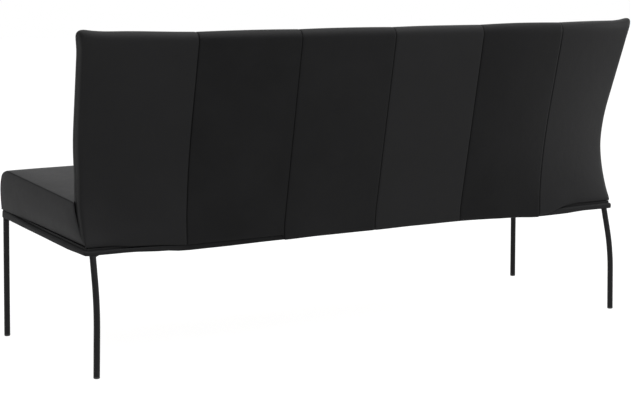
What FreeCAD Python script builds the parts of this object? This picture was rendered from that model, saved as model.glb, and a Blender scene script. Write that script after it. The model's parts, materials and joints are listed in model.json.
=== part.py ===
import FreeCAD, Part
import math
import os
import Sketcher

# Upholstered dining bench with a curved, panelled back and four round steel legs.
# The origin is on the floor at the middle of the bench. The front faces -Y and the length is along X.
# Left is -X and right is +X, as seen from in front of the bench.

V = FreeCAD.Vector
doc = FreeCAD.newDocument("dining_bench")

# Driving sizes, in millimetres and degrees
SIZES = [
    # base board and seat plane
    ("front_edge_y", -330.6),
    ("base_front_height", 347),
    ("seat_tilt", 3.4),
    ("base_width_front", 1800),
    ("base_width_rear", 1722),
    ("base_depth", 555),
    ("base_thickness", 18),
    ("base_corner_radius", 20),
    ("bead_depth", 9),
    ("bead_round", 8),
    ("lining_margin", 96),
    ("lining_thickness", 1),
    # legs, leg plates and glides
    ("leg_diameter", 17),
    ("leg_wall", 2),
    ("front_leg_inset_side", 9.5),
    ("front_leg_inset_front", 13),
    ("front_leg_splay", 1.0),
    ("front_leg_rake", 0.6),
    ("rear_leg_inset_side", 25),
    ("rear_leg_inset_rear", 9.5),
    ("rear_leg_splay", 1.6),
    ("rear_leg_bend", 14.5),
    ("rear_leg_bend_radius", 500),
    ("rear_leg_upper", 60),
    ("plate_size", 54),
    ("plate_setback", 17),
    ("plate_thickness", 4),
    ("plate_leg_margin", 0.5),
    ("plate_hole_inset", 12),
    ("plate_hole_diameter", 5.4),
    ("plate_screw_diameter", 4.5),
    ("plate_screw_length", 17),
    ("plate_screw_head", 9),
    ("plate_screw_head_height", 2.5),
    ("glide_height", 5),
    ("glide_round", 1.5),
    ("glide_stem_length", 12),
    ("glide_stem_clearance", 0.45),
    # seat frame and springs
    ("rail_inset", 30),
    ("rail_thickness", 25),
    ("rail_height", 65),
    ("rear_rail_setback", 67),
    ("cross_rail_height", 45),
    ("block_size", 40),
    ("block_height", 50),
    ("spring_wire", 3.5),
    ("spring_step", 36),
    ("spring_width", 56),
    ("spring_spacing", 135),
    ("clip_width", 14),
    ("clip_depth", 16),
    ("clip_wall", 2),
    ("clip_clearance", 0.1),
    ("pad_thickness", 4),
    # seat cushion
    ("seat_inset_front", 2),
    ("seat_inset_rear", 8),
    ("seam_height_front", 131),
    ("seam_height_rear", 124),
    ("seat_crown", 12),
    ("nose_overhang", 12),
    ("nose_height", 75),
    ("nose_depth", 42),
    ("cover_thickness", 2),
    ("layer_gap", 0.25),
    # backrest form
    ("back_height", 535),
    ("back_lean", 11.7),
    ("back_overhang", 2),
    ("back_bottom_gap", 1.6),
    ("back_thickness", 60),
    ("back_toe", 12),
    ("back_toe_height", 140),
    ("back_waist_height", 165),
    ("back_waist_inset", 48),
    ("back_waist_radius", 398),
    ("back_end_lean", 18.2),
    ("back_end_inset", 14),
    ("back_end_flare", 3.2),
    ("panel_bulge", 4),
    ("back_end_round", 18),
    ("back_top_round", 24),
    # backrest frame
    ("back_rear_foam", 7),
    ("back_rear_sheet", 3),
    ("back_front_sheet", 4),
    ("rib_width", 24),
    ("rib_depth", 22),
    ("rib_foot_height", 62),
    ("rib_top_gap", 30),
    ("back_rail_height", 40),
    ("lumbar_rail_height", 273),
    ("coach_screw_diameter", 8),
    ("coach_screw_length", 42),
    ("coach_screw_head", 14),
    ("coach_screw_head_height", 5),
    ("coach_screw_spread", 17),
]

sheet = doc.addObject("Spreadsheet::Sheet", "Sizes")
for row, (alias, value) in enumerate(SIZES, start=1):
    sheet.set("A%d" % row, alias)
    sheet.set("B%d" % row, str(value))
    sheet.setAlias("B%d" % row, alias)
doc.recompute()


def size(alias):
    """The value of a driving size."""
    return float(getattr(sheet, alias))


nodes = []


def keep(piece, label):
    """Name a finished sub-part and list it for the export."""
    piece.Label = label
    nodes.append(piece)
    return piece


def bind(piece, **expressions):
    """Tie properties of a piece to the driving sizes."""
    for name, expression in expressions.items():
        piece.setExpression(name, expression)
    return piece


def feature(name, shape):
    """A document object that holds a shape made with Part's own functions."""
    piece = doc.addObject("Part::Feature", name)
    piece.Shape = shape
    return piece


def boolean(kind, name, base, tool):
    """A Part boolean of two document objects."""
    piece = doc.addObject("Part::" + kind, name)
    piece.Base = base
    piece.Tool = tool
    return piece


# The seat plane: x across, y back along the slope, z square to it, from the base's front lower edge.
TILT = math.radians(size("seat_tilt"))
SEAT = FreeCAD.Placement(
    V(0, size("front_edge_y"), size("base_front_height")),
    FreeCAD.Rotation(V(1, 0, 0), -size("seat_tilt")),
)
REAR_FACE = size("base_depth") - size("rear_rail_setback")
TOP = "Sizes.base_thickness"
RAIL_TOP = "(Sizes.base_thickness + Sizes.rail_height)"
CLIP_HEIGHT = "(Sizes.spring_wire + 2*Sizes.clip_wall)"
PAD_LOW = "(" + RAIL_TOP + " + " + CLIP_HEIGHT + ")"
PAD_TOP = "(" + PAD_LOW + " + Sizes.pad_thickness)"


def half_at(depth):
    """Half the base's width at a depth behind its front edge, as an expression."""
    drop = "(Sizes.base_width_front - Sizes.base_width_rear)/2/Sizes.base_depth"
    return "(Sizes.base_width_front/2 - (" + depth + ")*" + drop + ")"


def base_half(depth):
    """The same as a number."""
    drop = (size("base_width_front") - size("base_width_rear")) / 2 / size("base_depth")
    return size("base_width_front") / 2 - depth * drop


def plank(name, front, rear, low, high, left, right):
    """A straight-sided board on the seat plane; left and right give expressions for x at a depth."""
    piece = doc.addObject("Part::Wedge", name)
    bind(piece, Ymin=front, Ymax=rear, Zmin=low, Zmax=high, Z2min=low, Z2max=high)
    bind(piece, Xmin=left(front), Xmax=right(front), X2min=left(rear), X2max=right(rear))
    return piece


def beside(gap):
    """Right and left sides at a distance inside the base's sides."""
    return lambda depth: "(" + half_at(depth) + " - (" + gap + "))"


def mirrored(side):
    return lambda depth: "-" + side(depth)


def edges_where(shape, test):
    """Numbers of the edges whose start and end points pass a test."""
    found = []
    for number, edge in enumerate(shape.Edges, start=1):
        first = edge.Vertexes[0].Point
        last = edge.Vertexes[-1].Point
        if test(first, last):
            found.append(number)
    return found


def rounded(name, base, numbers, radius):
    piece = doc.addObject("Part::Fillet", name)
    piece.Base = base
    piece.Edges = [(number, radius, radius) for number in numbers]
    doc.recompute()
    return piece


# Base board and the bead round its edge
WHOLE = beside("0")
BOARD_SIDE = beside("Sizes.bead_depth")
BOARD_REAR = "(Sizes.base_depth - Sizes.bead_depth)"
bead_blank = plank("bead_blank", "0", "Sizes.base_depth", "0", TOP, mirrored(WHOLE), WHOLE)
board_blank = plank(
    "board_blank", "Sizes.bead_depth", BOARD_REAR, "0", TOP, mirrored(BOARD_SIDE), BOARD_SIDE
)
doc.recompute()
upright = edges_where(bead_blank.Shape, lambda a, b: abs(a.z - b.z) > 1)
bead_plan = rounded("bead_plan", bead_blank, upright, size("base_corner_radius"))
level = edges_where(bead_plan.Shape, lambda a, b: abs(a.z - b.z) < 0.01)
bead_form = rounded("bead_form", bead_plan, level, size("bead_round"))
bead = keep(boolean("Cut", "edge_bead", bead_form, board_blank), "edge_bead")
bead.Placement = SEAT

lining = plank(
    "dust_cover",
    "Sizes.lining_margin",
    "(Sizes.base_depth - Sizes.lining_margin)",
    "-Sizes.lining_thickness",
    "0",
    mirrored(beside("Sizes.lining_margin")),
    beside("Sizes.lining_margin"),
)
keep(lining, "dust_cover").Placement = SEAT

# Legs: each hangs from a point on its plate's lower face
LEG_RADIUS = size("leg_diameter") / 2
FRONT_DEPTH = size("front_leg_inset_front")
REAR_DEPTH = size("base_depth") - size("rear_leg_inset_rear")
TRIM = 20
CORNERS = []
for end, depth, inset in (
    ("front", FRONT_DEPTH, size("front_leg_inset_side")),
    ("rear", REAR_DEPTH, size("rear_leg_inset_side")),
):
    for hand, side in (("left", -1), ("right", 1)):
        CORNERS.append((end, hand, side, V(side * (base_half(depth) - inset), depth, 0)))


def origin_plane(body, role):
    return [item for item in body.Origin.OriginFeatures if item.Role == role][0]


def new_sketch(body, name, role):
    sketch = body.newObject("Sketcher::SketchObject", name)
    sketch.AttachmentSupport = [(origin_plane(body, role), "")]
    sketch.MapMode = "FlatFace"
    return sketch


def dimension(sketch, constraint, expression):
    """Add a dimension and tie it to the driving sizes."""
    number = sketch.addConstraint(constraint)
    sketch.setExpression("Constraints[%d]" % number, expression)


def circle(sketch, x, y, radius, expression, at_origin=False):
    number = sketch.addGeometry(Part.Circle(V(x, y, 0), V(0, 0, 1), radius))
    if at_origin:
        sketch.addConstraint(Sketcher.Constraint("Coincident", number, 3, -1, 1))
    dimension(sketch, Sketcher.Constraint("Radius", number, radius), expression)
    return number


def chain(sketch, points, expressions):
    """A closed outline of straight lines; each corner's x and y are tied to expressions."""
    count = len(points)
    for number in range(count):
        sketch.addGeometry(Part.LineSegment(V(*points[number], 0), V(*points[(number + 1) % count], 0)))
    for number in range(count):
        sketch.addConstraint(Sketcher.Constraint("Coincident", number, 2, (number + 1) % count, 1))
    for number in range(count):
        for kind, value, expression in zip(("DistanceX", "DistanceY"), points[number], expressions[number]):
            dimension(sketch, Sketcher.Constraint(kind, -1, 1, number, 1, value), expression)


def tube_section(body, name):
    sketch = new_sketch(body, name, "XY_Plane")
    circle(sketch, 0, 0, LEG_RADIUS, "Sizes.leg_diameter/2", True)
    inner = LEG_RADIUS - size("leg_wall")
    circle(sketch, 0, 0, inner, "Sizes.leg_diameter/2 - Sizes.leg_wall", True)
    return sketch


def straight_tube(name):
    """A straight tube that runs down from its origin, with a little spare at both ends."""
    body = doc.addObject("PartDesign::Body", name)
    section = tube_section(body, name + "_section")
    section.AttachmentOffset.Base = V(0, 0, TRIM)
    pad = body.newObject("PartDesign::Pad", name + "_pad")
    pad.Profile = section
    pad.Reversed = True
    bind(pad, Length="Sizes.base_front_height + %d" % (2 * TRIM))
    return body


def bent_tube(name, drop):
    """A tube that leans under the seat and stands upright at the floor."""
    angle = math.radians(size("rear_leg_bend"))
    radius = size("rear_leg_bend_radius")
    upper = size("rear_leg_upper")
    bend = "Sizes.rear_leg_bend*1deg"
    arc_radius = "Sizes.rear_leg_bend_radius"
    lean = "Sizes.rear_leg_upper*tan(" + bend + ")"
    swing = arc_radius + "*(1 - cos(" + bend + "))"
    start = (-TRIM * math.tan(angle), TRIM)
    knee = (upper * math.tan(angle), -upper)
    ankle = (knee[0] + radius * (1 - math.cos(angle)), knee[1] - radius * math.sin(angle))
    foot = (ankle[0], -drop - TRIM)
    places = [
        (start, ("-%d*tan(%s)" % (TRIM, bend), "%d" % TRIM)),
        (knee, (lean, "-Sizes.rear_leg_upper")),
        (ankle, (lean + " + " + swing, "-Sizes.rear_leg_upper - " + arc_radius + "*sin(" + bend + ")")),
        (foot, (lean + " + " + swing, "%.4f" % foot[1])),
    ]
    body = doc.addObject("PartDesign::Body", name)
    spine = new_sketch(body, name + "_path", "YZ_Plane")
    centre = V(ankle[0] - radius, ankle[1], 0)
    spine.addGeometry(Part.LineSegment(V(*start, 0), V(*knee, 0)))
    spine.addGeometry(Part.ArcOfCircle(Part.Circle(centre, V(0, 0, 1), radius), 0, angle))
    spine.addGeometry(Part.LineSegment(V(*ankle, 0), V(*foot, 0)))
    spine.addConstraint(Sketcher.Constraint("Coincident", 0, 2, 1, 2))
    spine.addConstraint(Sketcher.Constraint("Coincident", 1, 1, 2, 1))
    for (place, ties), (line, point) in zip(places, ((0, 1), (0, 2), (2, 1), (2, 2))):
        for kind, value, tie in zip(("DistanceX", "DistanceY"), place, ties):
            dimension(spine, Sketcher.Constraint(kind, -1, 1, line, point, value), tie)
    dimension(spine, Sketcher.Constraint("Radius", 1, radius), arc_radius)
    section = tube_section(body, name + "_section")
    section.AttachmentOffset = FreeCAD.Placement(
        V(0, start[0], start[1]), FreeCAD.Rotation(V(1, 0, 0), size("rear_leg_bend"))
    )
    doc.recompute()
    pipe = body.newObject("PartDesign::AdditivePipe", name + "_pipe")
    pipe.Profile = section
    pipe.Spine = (spine, ["Edge1", "Edge2", "Edge3"])
    return body, ankle[0]


# The space between the glides and the lower face of the plates, which trims both ends of the legs
leg_room_box = doc.addObject("Part::Box", "leg_room_box")
bind(leg_room_box, Length="2*Sizes.base_width_front", Width="4*Sizes.base_depth")
bind(leg_room_box, Height="2*Sizes.base_front_height")
leg_room_box.Placement.Base = V(-size("base_width_front"), -2 * size("base_depth"), size("glide_height"))
seat_space = doc.addObject("Part::Box", "seat_space")
bind(seat_space, Length="3*Sizes.base_width_front", Width="6*Sizes.base_depth")
bind(seat_space, Height="4*Sizes.base_front_height")
seat_space.Placement = SEAT.multiply(
    FreeCAD.Placement(
        V(-1.5 * size("base_width_front"), -3 * size("base_depth"), -size("plate_thickness")),
        FreeCAD.Rotation(),
    )
)
leg_room = boolean("Cut", "leg_room", leg_room_box, seat_space)


def glide_body(name):
    """A plastic glide: a head as wide as the tube and a stem inside it."""
    body = doc.addObject("PartDesign::Body", name)
    head = LEG_RADIUS
    stem = LEG_RADIUS - size("leg_wall") - size("glide_stem_clearance")
    high = size("glide_height") + size("glide_stem_length")
    cut = size("glide_round")
    stem_tie = "Sizes.leg_diameter/2 - Sizes.leg_wall - Sizes.glide_stem_clearance"
    high_tie = "Sizes.glide_height + Sizes.glide_stem_length"
    profile = new_sketch(body, name + "_profile", "XZ_Plane")
    chain(
        profile,
        [
            (0, 0),
            (head - cut, 0),
            (head, cut),
            (head, size("glide_height")),
            (stem, size("glide_height")),
            (stem, high),
            (0, high),
        ],
        [
            ("0", "0"),
            ("Sizes.leg_diameter/2 - Sizes.glide_round", "0"),
            ("Sizes.leg_diameter/2", "Sizes.glide_round"),
            ("Sizes.leg_diameter/2", "Sizes.glide_height"),
            (stem_tie, "Sizes.glide_height"),
            (stem_tie, high_tie),
            ("0", high_tie),
        ],
    )
    turn = body.newObject("PartDesign::Revolution", name + "_turn")
    turn.Profile = profile
    turn.ReferenceAxis = (profile, ["V_Axis"])
    turn.Angle = 360
    return body


def pin_body(name, prefix):
    """A screw with a flat round head below its origin and a shank above it."""
    body = doc.addObject("PartDesign::Body", name)
    shank = size(prefix + "_diameter") / 2
    head = size(prefix + "_head") / 2
    low = -size(prefix + "_head_height")
    high = size(prefix + "_length")
    tie = "Sizes." + prefix
    profile = new_sketch(body, name + "_profile", "XZ_Plane")
    chain(
        profile,
        [(0, low), (head, low), (head, 0), (shank, 0), (shank, high), (0, high)],
        [
            ("0", "-" + tie + "_head_height"),
            (tie + "_head/2", "-" + tie + "_head_height"),
            (tie + "_head/2", "0"),
            (tie + "_diameter/2", "0"),
            (tie + "_diameter/2", tie + "_length"),
            ("0", tie + "_length"),
        ],
    )
    turn = body.newObject("PartDesign::Revolution", name + "_turn")
    turn.Profile = profile
    turn.ReferenceAxis = (profile, ["V_Axis"])
    turn.Angle = 360
    return body


SLOPE = (size("base_width_front") - size("base_width_rear")) / 2 / size("base_depth")
SLOPE_TIE = "(Sizes.base_width_front - Sizes.base_width_rear)/2/Sizes.base_depth"


def leaned(x, y, x_tie, y_tie, skew):
    """A place on a plate, moved so that the plate keeps parallel to the base's side and front."""
    along, sign = skew
    tie = "%d*" % sign + SLOPE_TIE
    if along == "x":
        return x + sign * SLOPE * y, y, "(" + x_tie + " + " + y_tie + "*" + tie + ")", y_tie
    return x, y + sign * SLOPE * x, x_tie, "(" + y_tie + " + " + x_tie + "*" + tie + ")"


PLATE_FAR = size("plate_setback") + size("plate_size")
PLATE_FAR_TIE = "(Sizes.plate_setback + Sizes.plate_size)"


def plate_body(name, skew):
    """A plate set back from the base's edges, with a tongue to the leg, and four screw holes."""
    body = doc.addObject("PartDesign::Body", name)
    end_radius = LEG_RADIUS + size("plate_leg_margin")
    end_tie = "(Sizes.leg_diameter/2 + Sizes.plate_leg_margin)"
    # the tongue runs in from the leg at 45 degrees, as wide as its round end
    neck = end_radius / math.sqrt(2)
    neck_tie = "(" + end_tie + "/sqrt(2))"
    back = size("plate_setback")
    back_tie = "Sizes.plate_setback"
    wing = back + 2 * neck
    wing_tie = "(Sizes.plate_setback + 2*" + neck_tie + ")"
    outline = new_sketch(body, name + "_outline", "XY_Plane")
    places = [
        leaned(x, y, x_tie, y_tie, skew)
        for x, y, x_tie, y_tie in (
            (neck, -neck, neck_tie, "(-" + neck_tie + ")"),
            (wing, back, wing_tie, back_tie),
            (PLATE_FAR, back, PLATE_FAR_TIE, back_tie),
            (PLATE_FAR, PLATE_FAR, PLATE_FAR_TIE, PLATE_FAR_TIE),
            (back, PLATE_FAR, back_tie, PLATE_FAR_TIE),
            (back, wing, back_tie, wing_tie),
            (-neck, neck, "(-" + neck_tie + ")", neck_tie),
        )
    ]
    chain(outline, [place[:2] for place in places], [place[2:] for place in places])
    pad = body.newObject("PartDesign::Pad", name + "_pad")
    pad.Profile = outline
    bind(pad, Length="Sizes.plate_thickness")
    doc.recompute()
    round_end = new_sketch(body, name + "_round_end", "XY_Plane")
    circle(round_end, 0, 0, end_radius, end_tie, at_origin=True)
    end_pad = body.newObject("PartDesign::Pad", name + "_end_pad")
    end_pad.Profile = round_end
    bind(end_pad, Length="Sizes.plate_thickness")
    doc.recompute()
    holes = new_sketch(body, name + "_holes", "XY_Plane")
    for x, y, x_tie, y_tie in plate_holes(skew):
        number = circle(holes, x, y, size("plate_hole_diameter") / 2, "Sizes.plate_hole_diameter/2")
        dimension(holes, Sketcher.Constraint("DistanceX", -1, 1, number, 3, x), x_tie)
        dimension(holes, Sketcher.Constraint("DistanceY", -1, 1, number, 3, y), y_tie)
    pocket = body.newObject("PartDesign::Pocket", name + "_pocket")
    pocket.Profile = holes
    pocket.Type = 1
    pocket.Reversed = True
    return body


def plate_holes(skew):
    """Hole places on a plate, from the leg's axis, with the expressions that give them."""
    near = size("plate_setback") + size("plate_hole_inset")
    far = PLATE_FAR - size("plate_hole_inset")
    near_tie = "(Sizes.plate_setback + Sizes.plate_hole_inset)"
    far_tie = "(" + PLATE_FAR_TIE + " - Sizes.plate_hole_inset)"
    return [
        leaned(near, near, near_tie, near_tie, skew),
        leaned(far, near, far_tie, near_tie, skew),
        leaned(far, far, far_tie, far_tie, skew),
        leaned(near, far, near_tie, far_tie, skew),
    ]


screw = pin_body("plate_screw", "plate_screw")
doc.recompute()
# How far each plate is turned, and which of its directions leans with the base's side
CORNER_TURNS = {
    "front_left": (0, ("x", 1)),
    "front_right": (90, ("y", 1)),
    "rear_right": (180, ("x", -1)),
    "rear_left": (270, ("y", -1)),
}
screws = []
pilots = []
for end, hand, side, place in CORNERS:
    name = end + "_" + hand
    # the plate's own corner points outwards at each corner of the base
    turn, skew = CORNER_TURNS[name]
    turn_in = FreeCAD.Rotation(V(0, 0, 1), turn)
    on_plate = SEAT.multiply(
        FreeCAD.Placement(place - V(0, 0, size("plate_thickness")), turn_in)
    )
    plate = keep(plate_body("leg_plate_" + name, skew), "leg_plate_" + name)
    plate.Placement = on_plate
    anchor = on_plate.Base
    if end == "front":
        tube = straight_tube("tube_" + name)
        lean = FreeCAD.Rotation(V(0, 1, 0), -side * size("front_leg_splay"))
        lean = lean.multiply(FreeCAD.Rotation(V(1, 0, 0), -size("front_leg_rake")))
        foot_back = 0
    else:
        tube, foot_back = bent_tube("tube_" + name, anchor.z)
        lean = FreeCAD.Rotation(V(0, 1, 0), -side * size("rear_leg_splay"))
    tube.Placement = FreeCAD.Placement(anchor, lean)
    keep(boolean("Common", "leg_" + name, tube, leg_room), "leg_" + name)
    # the glide stands where the tube's axis meets its lower end
    down = lean.multVec(V(0, 0, -1))
    reach = (anchor.z - size("glide_height")) / -down.z
    stand = anchor + lean.multVec(V(0, foot_back, 0)) + down * reach
    glide = keep(glide_body("glide_" + name), "glide_" + name)
    glide.Placement.Base = V(stand.x, stand.y, 0)
    for x, y, x_tie, y_tie in plate_holes(skew):
        spot = on_plate.multiply(FreeCAD.Placement(V(x, y, 0), FreeCAD.Rotation()))
        copy = screw.Shape.copy()
        copy.Placement = spot
        screws.append(copy)
        hole = Part.makeCylinder(
            size("plate_screw_diameter") / 2 + 0.1, size("plate_screw_length") + 1
        )
        hole.Placement = spot
        pilots.append(hole)
keep(feature("leg_plate_screws", Part.makeCompound(screws)), "leg_plate_screws")

board_solid = boolean("Common", "board_solid", board_blank, bead_blank)
board_solid.Placement = SEAT
pilot_holes = feature("pilot_holes", Part.makeCompound(pilots))
keep(boolean("Cut", "base_board", board_solid, pilot_holes), "base_board")

# Seat frame: rails on the board, butted between the side rails
OUTER = "Sizes.rail_inset"
INNER = "(Sizes.rail_inset + Sizes.rail_thickness)"
FRONT_RAIL_REAR = INNER
RAIL_FACE = "(Sizes.base_depth - Sizes.rear_rail_setback)"
REAR_RAIL_FRONT = "(Sizes.base_depth - Sizes.rear_rail_setback - Sizes.rail_thickness)"
outer_side = beside(OUTER)
inner_side = beside(INNER)
rail_front = plank(
    "seat_rail_front", OUTER, FRONT_RAIL_REAR, TOP, RAIL_TOP, mirrored(inner_side), inner_side
)
rail_rear = plank(
    "rear_rail_blank", REAR_RAIL_FRONT, RAIL_FACE, TOP, RAIL_TOP, mirrored(inner_side), inner_side
)
rail_right = plank(
    "seat_rail_right", OUTER, RAIL_FACE, TOP, RAIL_TOP, inner_side, outer_side
)
rail_left = plank(
    "seat_rail_left",
    OUTER,
    RAIL_FACE,
    TOP,
    RAIL_TOP,
    mirrored(outer_side),
    mirrored(inner_side),
)
for piece in (rail_front, rail_right, rail_left):
    keep(piece, piece.Name).Placement = SEAT
rail_rear.Placement = SEAT

for name, place in (
    ("left", "-Sizes.base_width_front/4"),
    ("middle", "0"),
    ("right", "Sizes.base_width_front/4"),
):
    low_side = "(" + place + " - Sizes.rail_thickness/2)"
    high_side = "(" + place + " + Sizes.rail_thickness/2)"
    cross = plank(
        "cross_rail_" + name,
        FRONT_RAIL_REAR,
        REAR_RAIL_FRONT,
        TOP,
        "(" + TOP + " + Sizes.cross_rail_height)",
        lambda depth, edge=low_side: edge,
        lambda depth, edge=high_side: edge,
    )
    keep(cross, "cross_rail_" + name).Placement = SEAT

BLOCK_TOP = "(" + TOP + " + Sizes.block_height)"
block_side = beside("(" + INNER + " + Sizes.block_size)")
blocks = []
for name, front, rear in (
    ("front", FRONT_RAIL_REAR, "(" + FRONT_RAIL_REAR + " + Sizes.block_size)"),
    ("rear", "(" + REAR_RAIL_FRONT + " - Sizes.block_size)", REAR_RAIL_FRONT),
):
    blocks.append(
        plank("block_" + name + "_right", front, rear, TOP, BLOCK_TOP, block_side, inner_side)
    )
    blocks.append(
        plank(
            "block_" + name + "_left",
            front,
            rear,
            TOP,
            BLOCK_TOP,
            mirrored(inner_side),
            mirrored(block_side),
        )
    )
corner_blocks = doc.addObject("Part::Compound", "corner_blocks")
corner_blocks.Links = blocks
keep(corner_blocks, "corner_blocks").Placement = SEAT

# Zigzag springs from the middle of the front rail to the middle of the rear rail, held by clips
WIRE = size("spring_wire") / 2
FIRST_BAR = size("rail_inset") + size("rail_thickness") / 2
LAST_BAR = REAR_FACE - size("rail_thickness") / 2
WIRE_LEVEL = size("base_thickness") + size("rail_height") + size("clip_wall") + WIRE
BARS = max(2, round((LAST_BAR - FIRST_BAR) / size("spring_step")))
STEP = (LAST_BAR - FIRST_BAR) / BARS
REACH = size("spring_width") / 2 - STEP / 2
edges = []
for bar in range(BARS + 1):
    back = FIRST_BAR + bar * STEP
    out = 1 if bar % 2 == 0 else -1
    start = V(-out * REACH, back, WIRE_LEVEL)
    stop = V(out * REACH, back, WIRE_LEVEL)
    edges.append(Part.LineSegment(start, stop).toShape())
    if bar < BARS:
        turn = V(out * (REACH + STEP / 2), back + STEP / 2, WIRE_LEVEL)
        edges.append(Part.Arc(stop, turn, V(out * REACH, back + STEP, WIRE_LEVEL)).toShape())
path = Part.Wire(edges)
ring = Part.Wire(Part.makeCircle(WIRE, V(-REACH, FIRST_BAR, WIRE_LEVEL), V(1, 0, 0)))
spring = path.makePipeShell([ring], True, False)
ROOM = base_half(LAST_BAR) - size("rail_inset") - size("rail_thickness") - size("spring_width")
PAIRS = int(ROOM / size("spring_spacing") + 0.5)
SPRING_PLACES = [
    side * (number + 0.5) * size("spring_spacing") for number in range(PAIRS) for side in (-1, 1)
]
clip_box = Part.makeBox(
    size("clip_width"),
    size("clip_depth"),
    size("spring_wire") + 2 * size("clip_wall"),
    V(-size("clip_width") / 2, -size("clip_depth") / 2, size("base_thickness") + size("rail_height")),
)
clip_bore = Part.makeCylinder(
    WIRE + size("clip_clearance"),
    2 * size("clip_width"),
    V(-size("clip_width"), 0, WIRE_LEVEL),
    V(1, 0, 0),
)
clip = clip_box.cut(clip_bore)
springs = []
clips = []
for place in SPRING_PLACES:
    springs.append(spring.translated(V(place, 0, 0)))
    for bar in (FIRST_BAR, LAST_BAR):
        clips.append(clip.translated(V(place, bar, 0)))
spring_set = keep(feature("seat_springs", Part.makeCompound(springs)), "seat_springs")
spring_set.Placement = SEAT
clip_set = keep(feature("spring_clips", Part.makeCompound(clips)), "spring_clips")
clip_set.Placement = SEAT
pad_felt = plank(
    "spring_pad", OUTER, RAIL_FACE, PAD_LOW, PAD_TOP, mirrored(outer_side), outer_side
)
keep(pad_felt, "spring_pad").Placement = SEAT


# Backrest form. Sizes give heights above the base's front lower edge; y grows towards the rear.
BACK_TOP = size("base_front_height") + size("back_height")
WAIST = size("base_front_height") + size("back_waist_height")
REAR_EDGE_Y = SEAT.multVec(V(0, size("base_depth"), 0)).y
BACK_BOTTOM = SEAT.multVec(V(0, size("base_depth"), size("base_thickness"))).z + size("back_bottom_gap")
WAIST_Y = REAR_EDGE_Y - size("back_waist_inset")
BACK_HALF = size("base_width_rear") / 2 - size("back_end_inset")
END_LEAN = math.radians(size("back_end_lean"))


def middle_y(z):
    """Rear face of the middle panels: a straight lean."""
    return REAR_EDGE_Y + size("back_overhang") + (z - BACK_BOTTOM) * math.tan(math.radians(size("back_lean")))


def end_y(z):
    """Rear face at the ends: a hollow at the waist, then a straight lean."""
    radius = size("back_waist_radius")
    rise = z - WAIST
    straight = radius * math.sin(END_LEAN)
    if rise > straight:
        return WAIST_Y + radius * (1 - math.cos(END_LEAN)) + (rise - straight) * math.tan(END_LEAN)
    return WAIST_Y + radius - math.sqrt(radius * radius - rise * rise)


def end_x(z):
    """Half the length of the back at a height."""
    rise = max(0.0, z - WAIST)
    return BACK_HALF + rise * math.tan(math.radians(size("back_end_flare")))


# Three panels to each side share the length of the top, and the middle two are straight
PANEL = end_x(BACK_TOP) / 3


def depth_at(z):
    """Thickness of the back, which thins to a toe at the bottom."""
    share = min(1.0, max(0.0, (z - BACK_BOTTOM) / size("back_toe_height")))
    grown = share * (2 - share)
    return size("back_toe") + (size("back_thickness") - size("back_toe")) * grown


def rear_y(x, z):
    """Rear face of the back without its panels' swell."""
    along = max(0.0, abs(x) - PANEL) / (end_x(z) - PANEL)
    return middle_y(z) - (middle_y(z) - end_y(z)) * along * along


def swell(x):
    """How far a panel stands out between its seams."""
    if abs(x) >= 2 * PANEL:
        share = (abs(x) - 2 * PANEL) / (BACK_HALF - 2 * PANEL)
        share = min(1.0, share)
    else:
        share = (abs(x) / PANEL) % 1.0
    return size("panel_bulge") * 4 * share * (1 - share)


def curve(first, middle, last):
    """An arc through three points, or a line where they are in a row."""
    chord = last - first
    off = (middle - first).cross(chord).Length / chord.Length
    if off < 0.02:
        return Part.LineSegment(first, last).toShape()
    return Part.Arc(first, middle, last).toShape()


def corner(first, tip, last):
    """A rounded corner between two points beside its tip."""
    return curve(first, (first + tip * 2 + last) * 0.25, last)


def back_wire(z, rear, front, half, round_off):
    """A level section of the back between two faces; rear and front give y at x and z."""
    gap = rear(half, z) - front(half, z)
    turn = min(round_off, 0.45 * gap)
    stops = [0, PANEL, 2 * PANEL, half - turn]
    stops = [-stop for stop in stops[:0:-1]] + stops

    def run(face, places):
        found = []
        for a, b in zip(places, places[1:]):
            mid = (a + b) / 2
            found.append(curve(V(a, face(a, z), z), V(mid, face(mid, z), z), V(b, face(b, z), z)))
        return found

    def cap(side):
        x = side * half
        low = V(x, front(x, z) + turn, z)
        high = V(x, rear(x, z) - turn, z)
        near = side * (half - turn)
        if turn < 0.01:
            return [Part.LineSegment(high, low).toShape()]
        return [
            corner(V(near, rear(near, z), z), V(x, rear(x, z), z), high),
            Part.LineSegment(high, low).toShape(),
            corner(low, V(x, front(x, z), z), V(near, front(near, z), z)),
        ]

    edges = run(rear, stops) + cap(1) + run(front, stops[::-1]) + cap(-1)[::-1]
    return Part.Wire(Part.__sortEdges__(edges))


GRID_STEP = 46


def heights(low, high):
    """Section heights from a grid that every layer of the back shares."""
    found = [low]
    count = int((BACK_TOP - BACK_BOTTOM) / GRID_STEP) + 2
    for number in range(-1, count):
        z = BACK_BOTTOM + number * GRID_STEP
        if low + 6 < z < high - 6:
            found.append(z)
    return found + [high]


def layer(low, high, rear, front, half, round_off=0.0, top_round=0.0):
    """A closed form between two faces of the back; its top edges may be rounded over."""
    wires = []
    for z in heights(low, high - top_round):
        wires.append(back_wire(z, rear, front, half(z), round_off))
    if top_round > 0:
        for angle in (22, 45, 68, 90):
            lift = top_round * math.sin(math.radians(angle))
            draw = top_round * (1 - math.cos(math.radians(angle)))
            z = high - top_round + lift
            wires.append(
                back_wire(
                    z,
                    lambda x, z, draw=draw: rear(x, z) - draw,
                    lambda x, z, draw=draw: front(x, z) + draw,
                    half(z),
                    round_off,
                )
            )
    return Part.makeLoft(wires, True, False)


def outside(inset):
    """Rear and front faces of the whole back, drawn in by an inset."""
    return (
        lambda x, z: rear_y(x, z) + swell(x) - inset,
        lambda x, z: rear_y(x, z) - depth_at(z) - swell(x) + inset,
    )


def behind(offset):
    """A face at a distance in front of the back's plain rear face."""
    return lambda x, z: rear_y(x, z) - offset


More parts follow.
